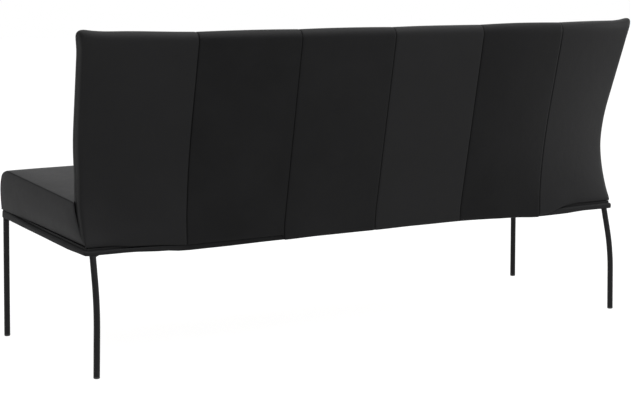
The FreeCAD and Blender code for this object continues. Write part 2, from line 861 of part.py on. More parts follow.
def whole_back(low, inset):
    """The whole back, drawn in by an inset."""
    rear, front = outside(inset)
    return layer(
        low,
        BACK_TOP - inset,
        rear,
        front,
        lambda z: end_x(z) - inset,
        size("back_end_round"),
        size("back_top_round") - inset,
    )


COVER = size("cover_thickness")
GAP = size("layer_gap")
back_form = whole_back(BACK_BOTTOM, 0)

# The seat's frame reaches into the back below this height, so the cover is open in front there
OPEN_TOP = SEAT.multVec(
    V(
        0,
        REAR_FACE,
        size("base_thickness")
        + size("rail_height")
        + size("spring_wire")
        + 2 * size("clip_wall")
        + size("pad_thickness"),
    )
).z + 2
hollow = whole_back(BACK_BOTTOM - 10, COVER)
front_opening = layer(
    BACK_BOTTOM - 10,
    OPEN_TOP,
    lambda x, z: rear_y(x, z) - depth_at(z) + COVER + 3,
    lambda x, z: rear_y(x, z) - depth_at(z) - 60,
    lambda z: end_x(z) - 4,
)
keep(feature("back_cover", back_form.cut(hollow).cut(front_opening)), "back_cover")

# Layers inside the cover, from the rear forwards
FOAM_REAR = COVER + 3 * GAP
SHEET_REAR = FOAM_REAR + size("back_rear_foam") + GAP
RIB_REAR = SHEET_REAR + size("back_rear_sheet") + GAP
RIB_FRONT = RIB_REAR + size("rib_depth")
SHEET_FRONT = RIB_FRONT + GAP
FOAM_FRONT = SHEET_FRONT + size("back_front_sheet") + GAP
FRAME_HALF = base_half(REAR_FACE) - size("rail_inset") - size("rail_thickness") - 1
FRAME_LOW = BACK_BOTTOM + 4
FRAME_TOP = BACK_TOP - size("rib_top_gap")


def frame_half(z):
    return FRAME_HALF


keep(
    feature(
        "back_foam_rear",
        layer(FRAME_LOW, FRAME_TOP, behind(FOAM_REAR), behind(FOAM_REAR + size("back_rear_foam")), frame_half),
    ),
    "back_foam_rear",
)
keep(
    feature(
        "back_rear_panel",
        layer(FRAME_LOW, FRAME_TOP, behind(SHEET_REAR), behind(SHEET_REAR + size("back_rear_sheet")), frame_half),
    ),
    "back_rear_panel",
)
keep(
    feature(
        "back_front_panel",
        layer(
            OPEN_TOP + 2,
            FRAME_TOP,
            behind(SHEET_FRONT),
            behind(SHEET_FRONT + size("back_front_sheet")),
            frame_half,
        ),
    ),
    "back_front_panel",
)
foam_block = whole_back(BACK_BOTTOM - 10, COVER + GAP)
frame_space = layer(
    BACK_BOTTOM - 10,
    FRAME_TOP + GAP,
    behind(-30),
    behind(FOAM_FRONT),
    lambda z: FRAME_HALF + GAP,
)
below_foam = Part.makeBox(
    2 * size("base_width_front"),
    2 * size("base_depth"),
    OPEN_TOP + 2,
    V(-size("base_width_front"), -size("base_depth"), 0),
)
keep(feature("back_foam_front", foam_block.cut(frame_space).cut(below_foam)), "back_foam_front")


def rail_face_y(z):
    """Rear face of the rear seat rail at a height."""
    foot = SEAT.multVec(V(0, REAR_FACE, 0))
    return foot.y + (z - foot.z) * math.tan(TILT)


# Ribs: cut from one deep form, then trimmed in front to the rib's depth above its foot
FOOT_TOP = BACK_BOTTOM + size("rib_foot_height")
rib_form = layer(
    FRAME_LOW, FRAME_TOP, behind(RIB_REAR), lambda x, z: rail_face_y(z) - 60, frame_half
)
rib_front_space = layer(
    FOOT_TOP, FRAME_TOP + 20, behind(RIB_FRONT), lambda x, z: rail_face_y(z) - 90, lambda z: FRAME_HALF + 20
)
rail_space = Part.makeBox(
    3 * size("base_width_front"),
    size("base_depth"),
    size("base_depth"),
    V(-1.5 * size("base_width_front"), REAR_FACE - size("base_depth"), -size("base_depth") / 2),
)
rail_space.Placement = SEAT.multiply(rail_space.Placement)
RIB_PLACES = [0, PANEL, 2 * PANEL, FRAME_HALF - size("rib_width") / 2]
RIB_PLACES = [-place for place in RIB_PLACES[:0:-1]] + RIB_PLACES


def slab(place, width, low, high):
    """An upright block across the back, from side to side of a place in x."""
    deep = size("base_depth")
    return Part.makeBox(width, 2 * deep, high - low, V(place - width / 2, -deep, low))


SCREW_LEVEL = size("base_thickness") + size("rib_foot_height") / 2
coach = pin_body("coach_screw", "coach_screw")
doc.recompute()
coaches = []
coach_holes = []
for place in RIB_PLACES:
    for lift in (-1, 1):
        spot = SEAT.multiply(
            FreeCAD.Placement(
                V(
                    place,
                    REAR_FACE - size("rail_thickness") + size("coach_screw_head_height"),
                    SCREW_LEVEL + lift * size("coach_screw_spread") / 2,
                ),
                FreeCAD.Rotation(V(1, 0, 0), -90),
            )
        )
        copy = coach.Shape.copy()
        copy.Placement = spot
        coaches.append(copy)
        hole = Part.makeCylinder(size("coach_screw_diameter") / 2 + 0.1, size("coach_screw_length") + 1)
        recess = Part.makeCylinder(
            size("coach_screw_head") / 2 + 0.1,
            size("coach_screw_head_height") + 1,
            V(0, 0, -size("coach_screw_head_height") - 1),
        )
        hole = hole.fuse(recess)
        hole.Placement = spot
        coach_holes.append(hole)
keep(feature("back_coach_screws", Part.makeCompound(coaches)), "back_coach_screws")
coach_bores = feature("coach_bores", Part.makeCompound(coach_holes))
keep(boolean("Cut", "seat_rail_rear", rail_rear, coach_bores), "seat_rail_rear")

for number, place in enumerate(RIB_PLACES, start=1):
    blank = rib_form.common(slab(place, size("rib_width"), FRAME_LOW - 50, FRAME_TOP + 50))
    blank = blank.cut(rib_front_space).cut(rail_space)
    rib_blank = feature("rib_blank_%d" % number, blank)
    keep(boolean("Cut", "back_rib_%d" % number, rib_blank, coach_bores), "back_rib_%d" % number)

# Rails of the back run between the ribs
rail_form = layer(FOOT_TOP, FRAME_TOP, behind(RIB_REAR), behind(RIB_FRONT), frame_half)
for name, low in (
    ("back_top_rail", FRAME_TOP - size("back_rail_height")),
    ("back_lumbar_rail", size("base_front_height") + size("lumbar_rail_height") - size("back_rail_height") / 2),
):
    spans = []
    for first, last in zip(RIB_PLACES, RIB_PLACES[1:]):
        width = last - first - size("rib_width")
        span = slab((first + last) / 2, width, low, low + size("back_rail_height"))
        spans += rail_form.common(span).Solids
    keep(feature(name, Part.makeCompound(spans)), name)


# Seat cushion: sections across the seat, each a share of the way out to the sides
def seat_half(depth):
    """Half the cushion's width, a little inside the base's sides."""
    share = depth / size("base_depth")
    return base_half(depth) - size("seat_inset_front") * (1 - share) - size("seat_inset_rear") * share


def seat_wire(share, inset, rear, low):
    """A front to rear section of the cushion, drawn in by an inset."""
    out = abs(share)
    crown = size("seat_crown") * (1 - out**4) * (1 - 0.12 * out)
    front_top = size("seam_height_front") + 0.3 * crown - inset
    rear_top = size("seam_height_rear") + 0.4 * crown - inset
    middle_top = (size("seam_height_front") + size("seam_height_rear")) / 2 + crown - inset
    tip = -size("nose_overhang") + inset
    level = size("nose_height")
    start = 2 + inset
    shoulder = size("nose_depth")

    def at(depth, height):
        return V(share * (seat_half(depth) - inset), depth, height)

    drop = level - size("base_thickness")
    radius = ((start - tip) ** 2 + drop**2) / (2 * (start - tip))
    half_drop = drop / 2
    under = at(tip + radius - math.sqrt(radius**2 - half_drop**2), level - half_drop)
    over = at(shoulder - (shoulder - tip) * math.sqrt(0.5), level + (front_top - level) * math.sqrt(0.5))
    toe = at(start, size("base_thickness") + GAP)
    nose = at(tip, level)
    brow = at(shoulder, front_top)
    tail = at(rear, rear_top)
    edges = [
        curve(toe, under, nose),
        curve(nose, over, brow),
        curve(brow, at((shoulder + rear) / 2, middle_top), tail),
    ]
    heel = at(rear, low)
    if low < size("base_thickness"):
        front_low = at(start, low)
        edges.append(Part.LineSegment(tail, heel).toShape())
        edges.append(Part.LineSegment(heel, front_low).toShape())
        edges.append(Part.LineSegment(front_low, toe).toShape())
    else:
        edges.append(Part.LineSegment(tail, heel).toShape())
        edges.append(Part.LineSegment(heel, toe).toShape())
    return Part.Wire(edges)


SHARES = (0.0, 0.35, 0.65, 0.83, 0.92, 0.97, 1.0)


def seat_form(inset, rear, low):
    shares = [-share for share in SHARES[:0:-1]] + list(SHARES)
    form = Part.makeLoft([seat_wire(share, inset, rear, low) for share in shares], True, False)
    form.Placement = SEAT
    return form


SEAT_LOW = size("base_thickness") + GAP
back_space = layer(
    BACK_BOTTOM - 30,
    WAIST + 30,
    lambda x, z: REAR_EDGE_Y + 200,
    outside(-6 * GAP)[1],
    lambda z: end_x(z) + 60,
)
seat_outer = seat_form(0, size("base_depth"), SEAT_LOW).cut(back_space)
seat_inner = seat_form(COVER, size("base_depth") + 40, size("base_thickness") - 20)
keep(feature("seat_cover", seat_outer.cut(seat_inner)), "seat_cover")
foam_form = seat_form(COVER + GAP, size("base_depth") - GAP, SEAT_LOW).cut(back_space)
frame_room = plank(
    "frame_room",
    "(Sizes.rail_inset - Sizes.layer_gap)",
    "(2*Sizes.base_depth)",
    "0",
    "(" + PAD_TOP + " + Sizes.layer_gap)",
    mirrored(beside("(Sizes.rail_inset - Sizes.layer_gap)")),
    beside("(Sizes.rail_inset - Sizes.layer_gap)"),
)
frame_room.Placement = SEAT
foam_blank = feature("foam_blank", foam_form)
keep(boolean("Cut", "seat_foam", foam_blank, frame_room), "seat_foam")

doc.recompute()

# Every object is sound before the solids are written
for item in doc.Objects:
    if "Invalid" in item.State or "Error" in item.State:
        raise RuntimeError(item.Label + " did not recompute: " + str(item.State))
os.makedirs("parts", exist_ok=True)
for piece in nodes:
    shape = piece.Shape
    if shape.isNull() or not shape.isValid() or not shape.Solids:
        raise RuntimeError(piece.Label + " is not a sound solid")
    shape.exportStep("parts/" + piece.Label + ".step")
print(len(nodes), "sub-parts written")
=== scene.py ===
import json
import math

import bpy
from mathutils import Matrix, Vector, noise


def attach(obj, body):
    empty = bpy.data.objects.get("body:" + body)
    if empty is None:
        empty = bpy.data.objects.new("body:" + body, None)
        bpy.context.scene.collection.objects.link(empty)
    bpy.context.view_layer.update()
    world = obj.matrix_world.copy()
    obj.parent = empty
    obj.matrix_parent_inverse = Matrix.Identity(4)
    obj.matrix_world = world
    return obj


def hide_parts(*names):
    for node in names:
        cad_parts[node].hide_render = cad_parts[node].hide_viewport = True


# Upholstered dining bench: leather back and seat, wrapped bead, steel legs.
# All lengths are in metres. The front of the bench faces -Y.
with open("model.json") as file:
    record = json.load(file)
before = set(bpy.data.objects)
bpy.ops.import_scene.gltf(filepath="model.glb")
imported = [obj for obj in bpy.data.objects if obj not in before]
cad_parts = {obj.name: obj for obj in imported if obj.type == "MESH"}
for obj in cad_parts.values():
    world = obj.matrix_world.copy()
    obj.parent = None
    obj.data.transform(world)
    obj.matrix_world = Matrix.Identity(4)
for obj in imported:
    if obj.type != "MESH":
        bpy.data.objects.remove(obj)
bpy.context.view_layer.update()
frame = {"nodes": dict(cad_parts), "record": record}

# Sizes that the part's source also has
FRONT_EDGE_Y = -0.3306
BASE_HEIGHT = 0.347
SEAT_TILT = math.radians(3.4)
BASE_HALF_FRONT = 0.900
BASE_HALF_REAR = 0.861
BASE_DEPTH = 0.555
BASE_THICKNESS = 0.018
BEAD_DEPTH = 0.009
LINING_MARGIN = 0.096
LAYER_GAP = 0.00025
SEAT_INSET_FRONT = 0.002
SEAT_INSET_REAR = 0.008
SEAM_FRONT = 0.135
SEAM_REAR = 0.124
SEAT_CROWN = 0.012
NOSE_OVERHANG = 0.012
NOSE_HEIGHT = 0.075
NOSE_DEPTH = 0.036
BACK_TOP = 0.882
BACK_LEAN = math.tan(math.radians(11.7))
BACK_GAP = 0.0016
BACK_OVERHANG = 0.002
BACK_DEPTH = 0.060
BACK_TOE = 0.012
BACK_TOE_HEIGHT = 0.140
WAIST = 0.512
WAIST_INSET = 0.048
WAIST_RADIUS = 0.398
END_LEAN = math.radians(18.2)
END_INSET = 0.014
END_FLARE = math.tan(math.radians(3.2))

# Sizes of the sewn work alone
END_ROLL = 0.024
END_FULLNESS = 3.5
TOP_ROLL = 0.030
FOOT_PROUD = 0.0095
END_PROUD = 0.0055
PROUD_FADE = (0.40, 0.52)
END_SET_BACK = 0.005
BEND_LIMIT = 1.05
SEAM_STRIP = 0.0022
PANEL_SWELL = 0.0025
SEAM_DEPTH = 0.0045
SEAM_LOOPS = (0.0016, 0.005)
ON_SEAM = 0.0004
TOP_SCALLOP = 0.0016
CREST_REACH = 0.08
EAR_OUT = 0.007
EAR_UP = 0.008
EAR_REACH = 0.048
# the corner at the -X end, and the blunter one at the +X end
EAR_ROUND = (0.010, 0.020)
BACK_TUCK = 0.008
TUCK_ROUND = 0.014
HEM_TUCK = 0.0042
HEM_ROUND = 0.006
HEM_CLEAR = 0.005
HEM_WALL = 0.0024
HEM_STEP = 0.004
HEM_HANGS = 0.010
HEM_REACH = 0.030
HEM_BLEND = 0.07
# two places nearer than this count as one
TINY = 1e-5

SEAT_COS = math.cos(SEAT_TILT)
SEAT_SIN = math.sin(SEAT_TILT)
REAR_EDGE_Y = FRONT_EDGE_Y + BASE_DEPTH * SEAT_COS
BACK_BOTTOM = BASE_HEIGHT - BASE_DEPTH * SEAT_SIN + BASE_THICKNESS * SEAT_COS + BACK_GAP
WAIST_Y = REAR_EDGE_Y - WAIST_INSET
BACK_HALF = BASE_HALF_REAR - END_INSET
PANEL = (BACK_HALF + (BACK_TOP - WAIST) * END_FLARE) / 3
FLAT_HALF = 3 * PANEL
SEAMS = [-2 * PANEL, -PANEL, 0.0, PANEL, 2 * PANEL]


def ease(low, high, value):
    """Smooth step from 0 at low to 1 at high."""
    share = min(1.0, max(0.0, (value - low) / (high - low)))
    return share * share * (3 - 2 * share)


def along(points, place):
    """Value at a place along a row of (place, value) points, eased between them."""
    if place <= points[0][0]:
        return points[0][1]
    for (a, low), (b, high) in zip(points, points[1:]):
        if place <= b:
            return low + (high - low) * ease(a, b, place)
    return points[-1][1]


# Seat plane and the form of the back

def on_seat(x, v, w):
    """A place on the sloping seat: across, back along the slope, and square to it."""
    y = FRONT_EDGE_Y + v * SEAT_COS + w * SEAT_SIN
    z = BASE_HEIGHT - v * SEAT_SIN + w * SEAT_COS
    return Vector((x, y, z))


def base_half(v):
    """Half the width of the base, back along the slope."""
    return BASE_HALF_FRONT - v * (BASE_HALF_FRONT - BASE_HALF_REAR) / BASE_DEPTH


def seat_half(v):
    """Half the width of the cushion, back along the slope."""
    share = v / BASE_DEPTH
    return base_half(v) - SEAT_INSET_FRONT * (1 - share) - SEAT_INSET_REAR * share


def middle_y(z):
    """Rear face of the back in its middle: a straight lean."""
    return REAR_EDGE_Y + BACK_OVERHANG + (z - BACK_BOTTOM) * BACK_LEAN


def end_y(z):
    """Rear face of the back at its ends: an arc round the waist, then a straight lean."""
    rise = z - WAIST
    straight = WAIST_RADIUS * math.sin(END_LEAN)
    if rise > straight:
        return WAIST_Y + WAIST_RADIUS * (1 - math.cos(END_LEAN)) + (rise - straight) * math.tan(END_LEAN)
    return WAIST_Y + WAIST_RADIUS - math.sqrt(WAIST_RADIUS**2 - rise**2)


def end_x(z):
    """Half the width of the back: upright to the waist, then flared."""
    return BACK_HALF + max(0.0, z - WAIST) * END_FLARE


def back_depth(z):
    """Thickness of the back, which is thin at its foot."""
    share = min(1.0, max(0.0, (z - BACK_BOTTOM) / BACK_TOE_HEIGHT))
    return BACK_TOE + (BACK_DEPTH - BACK_TOE) * share * (2 - share)


def sewn_half(z):
    """Half the width of the back at its end seams."""
    return end_x(z) + FOOT_PROUD + (END_PROUD - FOOT_PROUD) * ease(*PROUD_FADE, z)


def rear_y(x, z):
    """Rear face of the back, bent forward towards its ends."""
    bend = max(0.0, abs(x) - PANEL) / (end_x(z) - PANEL)
    bend = min(BEND_LIMIT, bend)
    return middle_y(z) - (middle_y(z) - end_y(z) - END_SET_BACK) * bend * bend


# Modelling by hand
CLOTH_PRESSURE = 3.0
CLOTH_QUALITY = 8
CLOTH_FRAMES = 20
PANEL_COLUMNS = 10


def pick_nothing():
    if bpy.context.object and bpy.context.object.mode != "OBJECT":
        bpy.ops.object.mode_set(mode="OBJECT")
    bpy.ops.object.select_all(action="DESELECT")


def take(piece):
    pick_nothing()
    bpy.context.view_layer.objects.active = piece
    piece.select_set(True)


def start_block(name, low, high):
    """A cube at a block's size and place, with its place held in its mesh."""
    pick_nothing()
    middle = [(a + b) / 2 for a, b in zip(low, high)]
    bpy.ops.mesh.primitive_cube_add(size=1, location=middle)
    piece = bpy.context.object
    piece.name = name
    piece.data.name = name
    piece.scale = [b - a for a, b in zip(low, high)]
    bpy.ops.object.transform_apply(location=True, rotation=False, scale=True)
    return piece


def cut(piece, axis, places):
    """Cut the piece across at each place along an axis."""
    take(piece)
    bpy.ops.object.mode_set(mode="EDIT")
    facing = [0.0, 0.0, 0.0]
    facing[axis] = 1.0
    for place in places:
        point = [0.0, 0.0, 0.0]
        point[axis] = place
        bpy.ops.mesh.select_all(action="SELECT")
        bpy.ops.mesh.bisect(plane_co=point, plane_no=facing)
    bpy.ops.object.mode_set(mode="OBJECT")


def pick_edges(piece, test):
    """Select the edges whose two ends pass a test, and go into edit mode."""
    take(piece)
    bpy.ops.object.mode_set(mode="EDIT")
    bpy.ops.mesh.select_all(action="DESELECT")
    bpy.ops.mesh.select_mode(type="EDGE")
    bpy.ops.object.mode_set(mode="OBJECT")
    points = piece.data.vertices
    for edge in piece.data.edges:
        edge.select = test(points[edge.vertices[0]].co, points[edge.vertices[1]].co)
    bpy.ops.object.mode_set(mode="EDIT")


def pick_faces(piece, test):
    """Select the faces that pass a test, and go into edit mode."""
    take(piece)
    bpy.ops.object.mode_set(mode="EDIT")
    bpy.ops.mesh.select_mode(type="FACE")
    bpy.ops.mesh.select_all(action="DESELECT")
    bpy.ops.object.mode_set(mode="OBJECT")
    for face in piece.data.polygons:
        face.select = test(face)
    bpy.ops.object.mode_set(mode="EDIT")


def refine(piece, levels):
    """Subdivide the finished form smoothly and apply it."""
    take(piece)
    smooth = piece.modifiers.new("smooth", "SUBSURF")
    smooth.levels = levels
    smooth.render_levels = levels
    bpy.ops.object.modifier_apply(modifier=smooth.name)
    bpy.ops.object.shade_smooth()


def pad_out(piece, sewn, limit):
    """Swell a padded form with cloth, held along its sewn lines, and keep each point within a limit."""
    start = [point.co.copy() for point in piece.data.vertices]
    held = piece.vertex_groups.new(name="sewn")
    held.add(sewn, 1.0, "REPLACE")
    cloth = piece.modifiers.new("padding", "CLOTH")
    cloth.settings.quality = CLOTH_QUALITY
    cloth.settings.vertex_group_mass = held.name
    cloth.settings.use_pressure = True
    cloth.settings.uniform_pressure_force = CLOTH_PRESSURE
    cloth.settings.effector_weights.gravity = 0.0
    cloth.point_cache.frame_start = 1
    cloth.point_cache.frame_end = CLOTH_FRAMES
    for number in range(1, CLOTH_FRAMES + 1):
        bpy.context.scene.frame_set(number)
    padded = piece.evaluated_get(bpy.context.evaluated_depsgraph_get())
    ends = [point.co.copy() for point in padded.data.vertices]
    piece.modifiers.remove(cloth)
    piece.vertex_groups.remove(held)
    bpy.context.scene.frame_set(1)
    for point, first, last in zip(piece.data.vertices, start, ends):
        shift = last - first
        if shift.length > limit:
            shift *= limit / shift.length
        point.co = first + shift


def panel_columns(loops):
    """Where a straight block is cut across: evenly in each panel, then closer at both ends."""
    columns = []
    for panel in range(-3, 3):
        columns += [(panel + part / PANEL_COLUMNS) * PANEL for part in range(PANEL_COLUMNS)]
    columns = columns[1:]
    for edge in loops:
        columns += [edge - FLAT_HALF, FLAT_HALF - edge]
    return columns


def at_seam(x):
    return min(abs(x - seam) for seam in SEAMS) < ON_SEAM


def cut_beside_seams(piece):
    """Close loops beside each seam between panels, so that the leather can roll into it."""
    for gap in SEAM_LOOPS:
        cut(piece, 0, [seam + side * gap for seam in SEAMS for side in (-1, 1)])


def sew(piece, points, depth):
    """Draw a seam's line into the leather and note it for the finish."""
    mark = piece.data.attributes.get("seam")
    if mark is None:
        mark = piece.data.attributes.new("seam", "FLOAT", "POINT")
    inward = [(point, point.normal.copy()) for point in points]
    for point, normal in inward:
        mark.data[point.index].value = 1.0
        point.co -= normal * depth
    piece.data.update()


# Back cushion: six panels in front and behind, sewn to each other along the ends and the top

# How far the rear panels' lower edge hangs down over the bead, across the back
HEM = [
    (-0.861, 0.0), (-0.710, 0.0), (-0.675, 0.0035), (-0.640, 0.0150), (-0.612, 0.0225), (-0.582, 0.0240),
    (-0.578, 0.030), (-0.475, 0.024), (-0.295, 0.018), (-0.140, 0.020), (0.0, 0.022), (0.175, 0.023),
    (0.289, 0.0255), (0.293, 0.0115), (0.490, 0.013), (0.585, 0.0135), (0.640, 0.0085), (0.690, 0.0060),
    (0.740, 0.0050), (0.780, 0.0), (0.861, 0.0),
]
# How much higher the sewn top stands than a straight line, across the back
TOP_LINE = [
    (-0.86, 0.004), (-0.45, 0.0035), (-0.15, 0.0005), (0.20, -0.0005), (0.62, -0.0028), (0.78, 0.0),
]
# How pale each rear panel is, from one end of the back to the other: partly its own hide, partly painted
# light, strongest on the -X end panel
PANEL_TONES_AND_LIGHT = [0.55, 0.08, 0.45, 0.15, 0.09, 0.38]
# How pale the front panels are, and how nearly they all match that
FRONT_HIDE = 0.3
FRONT_MATCH = 0.8
# Between these parts of a normal a face counts as a front one, or as an end one
FRONT_FACING = (0.2, -0.2)
END_FACING = (0.75, 0.97)

# Where the straight block is cut, and how it is held and sewn
BACK_END_LOOPS = (0.0008, 0.0025, 0.005, 0.009, 0.016)
BACK_TOP_LOOPS = (0.001, 0.004, 0.008, 0.016, 0.028)
BACK_FOOT_LOOPS = (0.0015, 0.005, 0.012)
BACK_ROWS = 24
HEM_SIDE = 0.5
BACK_HELD = 0.007
BACK_SWELL = 0.004
BACK_RIM_DEPTH = 0.0015


def roll(distance, radius, fullness=2.0):
    """Share of the full depth near a rolled edge; a fuller one is squarer."""
    near = 1 - min(distance, radius) / radius
    return max(0.0, 1 - near**fullness) ** (1 / fullness)


def back_place(flat):
    """Bend a point of the straight block into the form of the back."""
    x, side, z = flat
    reach = max(0.0, abs(x) - 2 * PANEL) / PANEL
    across = abs(x)
    if reach > 0:
        across = 2 * PANEL + reach * (sewn_half(z) - 2 * PANEL)
    across = math.copysign(across, x)
    depth = back_depth(z)
    share = (abs(x) / PANEL) % 1.0
    swell = PANEL_SWELL * 4 * share * (1 - share)
    edge = FLAT_HALF - abs(x)
    full = roll(edge, END_ROLL, END_FULLNESS) * roll(BACK_TOP - z, TOP_ROLL)
    half = SEAM_STRIP + (depth / 2 + swell - SEAM_STRIP) * full
    middle = rear_y(across, z) - depth / 2
    # the sewn corners stand out in blunt points
    corner = ease(-EAR_REACH, 0.0, -edge) * ease(BACK_TOP - EAR_REACH, BACK_TOP, z)
    blunt = EAR_ROUND[x > 0]
    out = max(0.0, 1 - edge / blunt)
    up = max(0.0, 1 - (BACK_TOP - z) / blunt)
    out_by = EAR_OUT * corner - blunt * out * (1 - math.sqrt(1 - up * up / 2))
    up_by = EAR_UP * corner - blunt * up * (1 - math.sqrt(1 - out * out / 2))
    # and the top stands a little higher between the seams
    crest = TOP_SCALLOP * 4 * share * (1 - share) + along(TOP_LINE, x)
    up_by += crest * ease(BACK_TOP - CREST_REACH, BACK_TOP, z)
    place = Vector((across + math.copysign(out_by, x), middle + half * side, z + up_by))
    # the rear panels hang over the bead, or are tucked in above it, in a turned hem
    hem = along(HEM, across)
    lift = z - BACK_BOTTOM
    hangs = ease(0.0, HEM_HANGS, hem)
    face = middle + half
    face += max(0.0, REAR_EDGE_Y + HEM_CLEAR - face) * hangs * (1 - ease(0.0, HEM_BLEND, lift))
    face -= HEM_TUCK * hangs * (1 - roll(lift, HEM_ROUND))
    face -= BACK_TUCK * (1 - hangs) * (1 - roll(lift, TUCK_ROUND))
    low = lift < TINY
    if side > 1 - TINY:
        place.y = face
        place.z -= hem * (1 - ease(0.0, HEM_REACH, lift))
    elif low and side > HEM_SIDE - TINY:
        place.y = face - HEM_WALL
        place.z -= hem
    elif low and side > -TINY:
        place.y = min(max(place.y, rear_y(across, z) - HEM_WALL), face - HEM_WALL)
    return place


def paint_tone_and_light(piece):
    """Note how pale each point is painted: its panel's own hide with painted light in it, and painted
    shade on the end walls.
    """
    tone_and_light = piece.data.attributes.new("tone_and_light", "FLOAT", "POINT")
    for point in piece.data.vertices:
        sides = []
        for step in (-ON_SEAM, ON_SEAM):
            panel = sum(point.co.x + step > seam for seam in SEAMS)
            sides.append(PANEL_TONES_AND_LIGHT[panel])
        pale_and_lit = sum(sides) / 2
        # the panels in front match each other better, and the end walls lose their paleness: painted shade
        # on the ends
        front = ease(*FRONT_FACING, point.normal.y)
        pale_and_lit += (FRONT_HIDE - pale_and_lit) * FRONT_MATCH * front
        tone_and_light.data[point.index].value = pale_and_lit * (1 - ease(*END_FACING, abs(point.normal.x)))


def make_back():
    back = start_block("back_cushion", (-FLAT_HALF, -1, BACK_BOTTOM), (FLAT_HALF, 1, BACK_TOP))
    # the hem's two steps get a column of their own
    cut(back, 0, panel_columns(BACK_END_LOOPS) + [SEAMS[0] - HEM_STEP, SEAMS[3] + HEM_STEP])
    tall = BACK_TOP - BACK_BOTTOM
    rows = [BACK_BOTTOM + tall * number / BACK_ROWS for number in range(1, BACK_ROWS - 1)]
    rows += [BACK_TOP - drop for drop in BACK_TOP_LOOPS]
    rows += [BACK_BOTTOM + lift for lift in BACK_FOOT_LOOPS]
    cut(back, 2, rows)
    cut(back, 1, [0.0, HEM_SIDE])
    rim = []
    sewn = []
    for point in back.data.vertices:
        x, side, z = point.co
        at_edge = abs(x) > FLAT_HALF - TINY or z > BACK_TOP - TINY
        if at_edge and abs(side) < TINY:
            rim.append(point.index)
        if at_edge or at_seam(x) or z < BACK_BOTTOM + BACK_HELD:
            sewn.append(point.index)
    for point in back.data.vertices:
        point.co = back_place(point.co)
    back.data.update()
    pad_out(back, sewn, BACK_SWELL)
    sew(back, [back.data.vertices[number] for number in rim], BACK_RIM_DEPTH)
    cut_beside_seams(back)
    sew(back, [point for point in back.data.vertices if at_seam(point.co.x)], SEAM_DEPTH)
    paint_tone_and_light(back)
    refine(back, 1)
    return back


back = make_back()
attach(back, "root")
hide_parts("back_cover", "back_foam_front", "back_foam_rear")


# Seat cushion: one crowned top that rolls over the front, and a sewn panel at each end
TOE = (-0.005, BASE_THICKNESS + LAYER_GAP)
ROLL_SHARE = 0.10
NOSE_SHARE = 0.5
# How much of the crown the front and the rear edge have, and how it falls off towards the ends
CROWN_FRONT = 0.3
CROWN_REAR = 0.4
CROWN_FALL = 0.12
# How far the lower edge turns in: at the front, how much more behind, and where that grows
TURN_IN = 0.0003
TURN_MORE = 0.0085
TURN_RUN = (0.04, 0.28)
TURN_ROUND = 0.013
# The depth and the gap to the back that the tail is worked out from
DEPTH_GUESS = 0.5
TAIL_STEPS = 6
TAIL_GAP = 0.001
# From this share of an end panel on, the leather belongs to the sewn end
END_SHARE = 0.99

# Where the straight block is cut, and how it is held and sewn
SEAT_END_LOOPS = (0.0025, 0.009)
SEAT_NOSE_LOOPS = [0.005, 0.018, 0.04, 0.07, ROLL_SHARE]
SEAT_ROWS = 18
SEAT_LEVELS = [0.01, 0.03, 0.08, 0.18, 0.29, 0.40, 0.5, 0.62, 0.74, 0.86, 0.93, 0.98]
SEAT_SWELL = 0.0035
SEAT_RIM_DEPTH = 0.0022


def crown_at(f):
    """Height of the crown at a share of the cushion's half width."""
    return SEAT_CROWN * (1 - f**4) * (1 - CROWN_FALL * f)


def seat_top(p, f, tail):
    """Top of the cushion from half way over its nose to its tail."""
    crown = crown_at(f)
    front = SEAM_FRONT + CROWN_FRONT * crown
    middle = (SEAM_FRONT + SEAM_REAR) / 2 + crown
    rear = SEAM_REAR + CROWN_REAR * crown
    if p < ROLL_SHARE:
        turn = math.radians(45 + 45 * p / ROLL_SHARE)
        deep = NOSE_DEPTH + NOSE_OVERHANG
        rise = front - NOSE_HEIGHT
        return NOSE_DEPTH - deep * math.cos(turn), NOSE_HEIGHT + rise * math.sin(turn)
    s = (p - ROLL_SHARE) / (1 - ROLL_SHARE)
    height = front * (1 - s) * (1 - 2 * s) + 4 * s * (1 - s) * middle + s * (2 * s - 1) * rear
    return NOSE_DEPTH + s * (tail - NOSE_DEPTH), height


def seat_front(q, f):
    """Front of the cushion from its toe to half way over its nose."""
    if q < NOSE_SHARE:
        height = TOE[1] + (NOSE_HEIGHT - TOE[1]) * q / NOSE_SHARE
        drop = NOSE_HEIGHT - TOE[1]
        reach = TOE[0] + NOSE_OVERHANG
        radius = (reach**2 + drop**2) / (2 * reach)
        bulge = math.sqrt(radius**2 - (NOSE_HEIGHT - height) ** 2)
        return radius - NOSE_OVERHANG - bulge, height
    turn = math.radians(45 * (q - NOSE_SHARE) / (1 - NOSE_SHARE))
    deep = NOSE_DEPTH + NOSE_OVERHANG
    rise = SEAM_FRONT + CROWN_FRONT * crown_at(f) - NOSE_HEIGHT
    return NOSE_DEPTH - deep * math.cos(turn), NOSE_HEIGHT + rise * math.sin(turn)


def seat_tail(x, height):
    """How far back the cushion goes at a height before it meets the back."""
    v = DEPTH_GUESS
    for step in range(TAIL_STEPS):
        z = on_seat(0, v, height).z
        depth = back_depth(z)
        # at its ends the back rolls away to its seam, and the cushion follows it
        edge = (sewn_half(z) - abs(x)) * PANEL / (sewn_half(z) - 2 * PANEL)
        full = roll(max(0.0, edge), END_ROLL, END_FULLNESS)
        half = SEAM_STRIP + (depth / 2 + PANEL_SWELL - SEAM_STRIP) * full
        face = rear_y(min(abs(x), sewn_half(z)), z) - depth / 2 - half - TAIL_GAP
        v = (face - FRONT_EDGE_Y - height * SEAT_SIN) / SEAT_COS
    return v


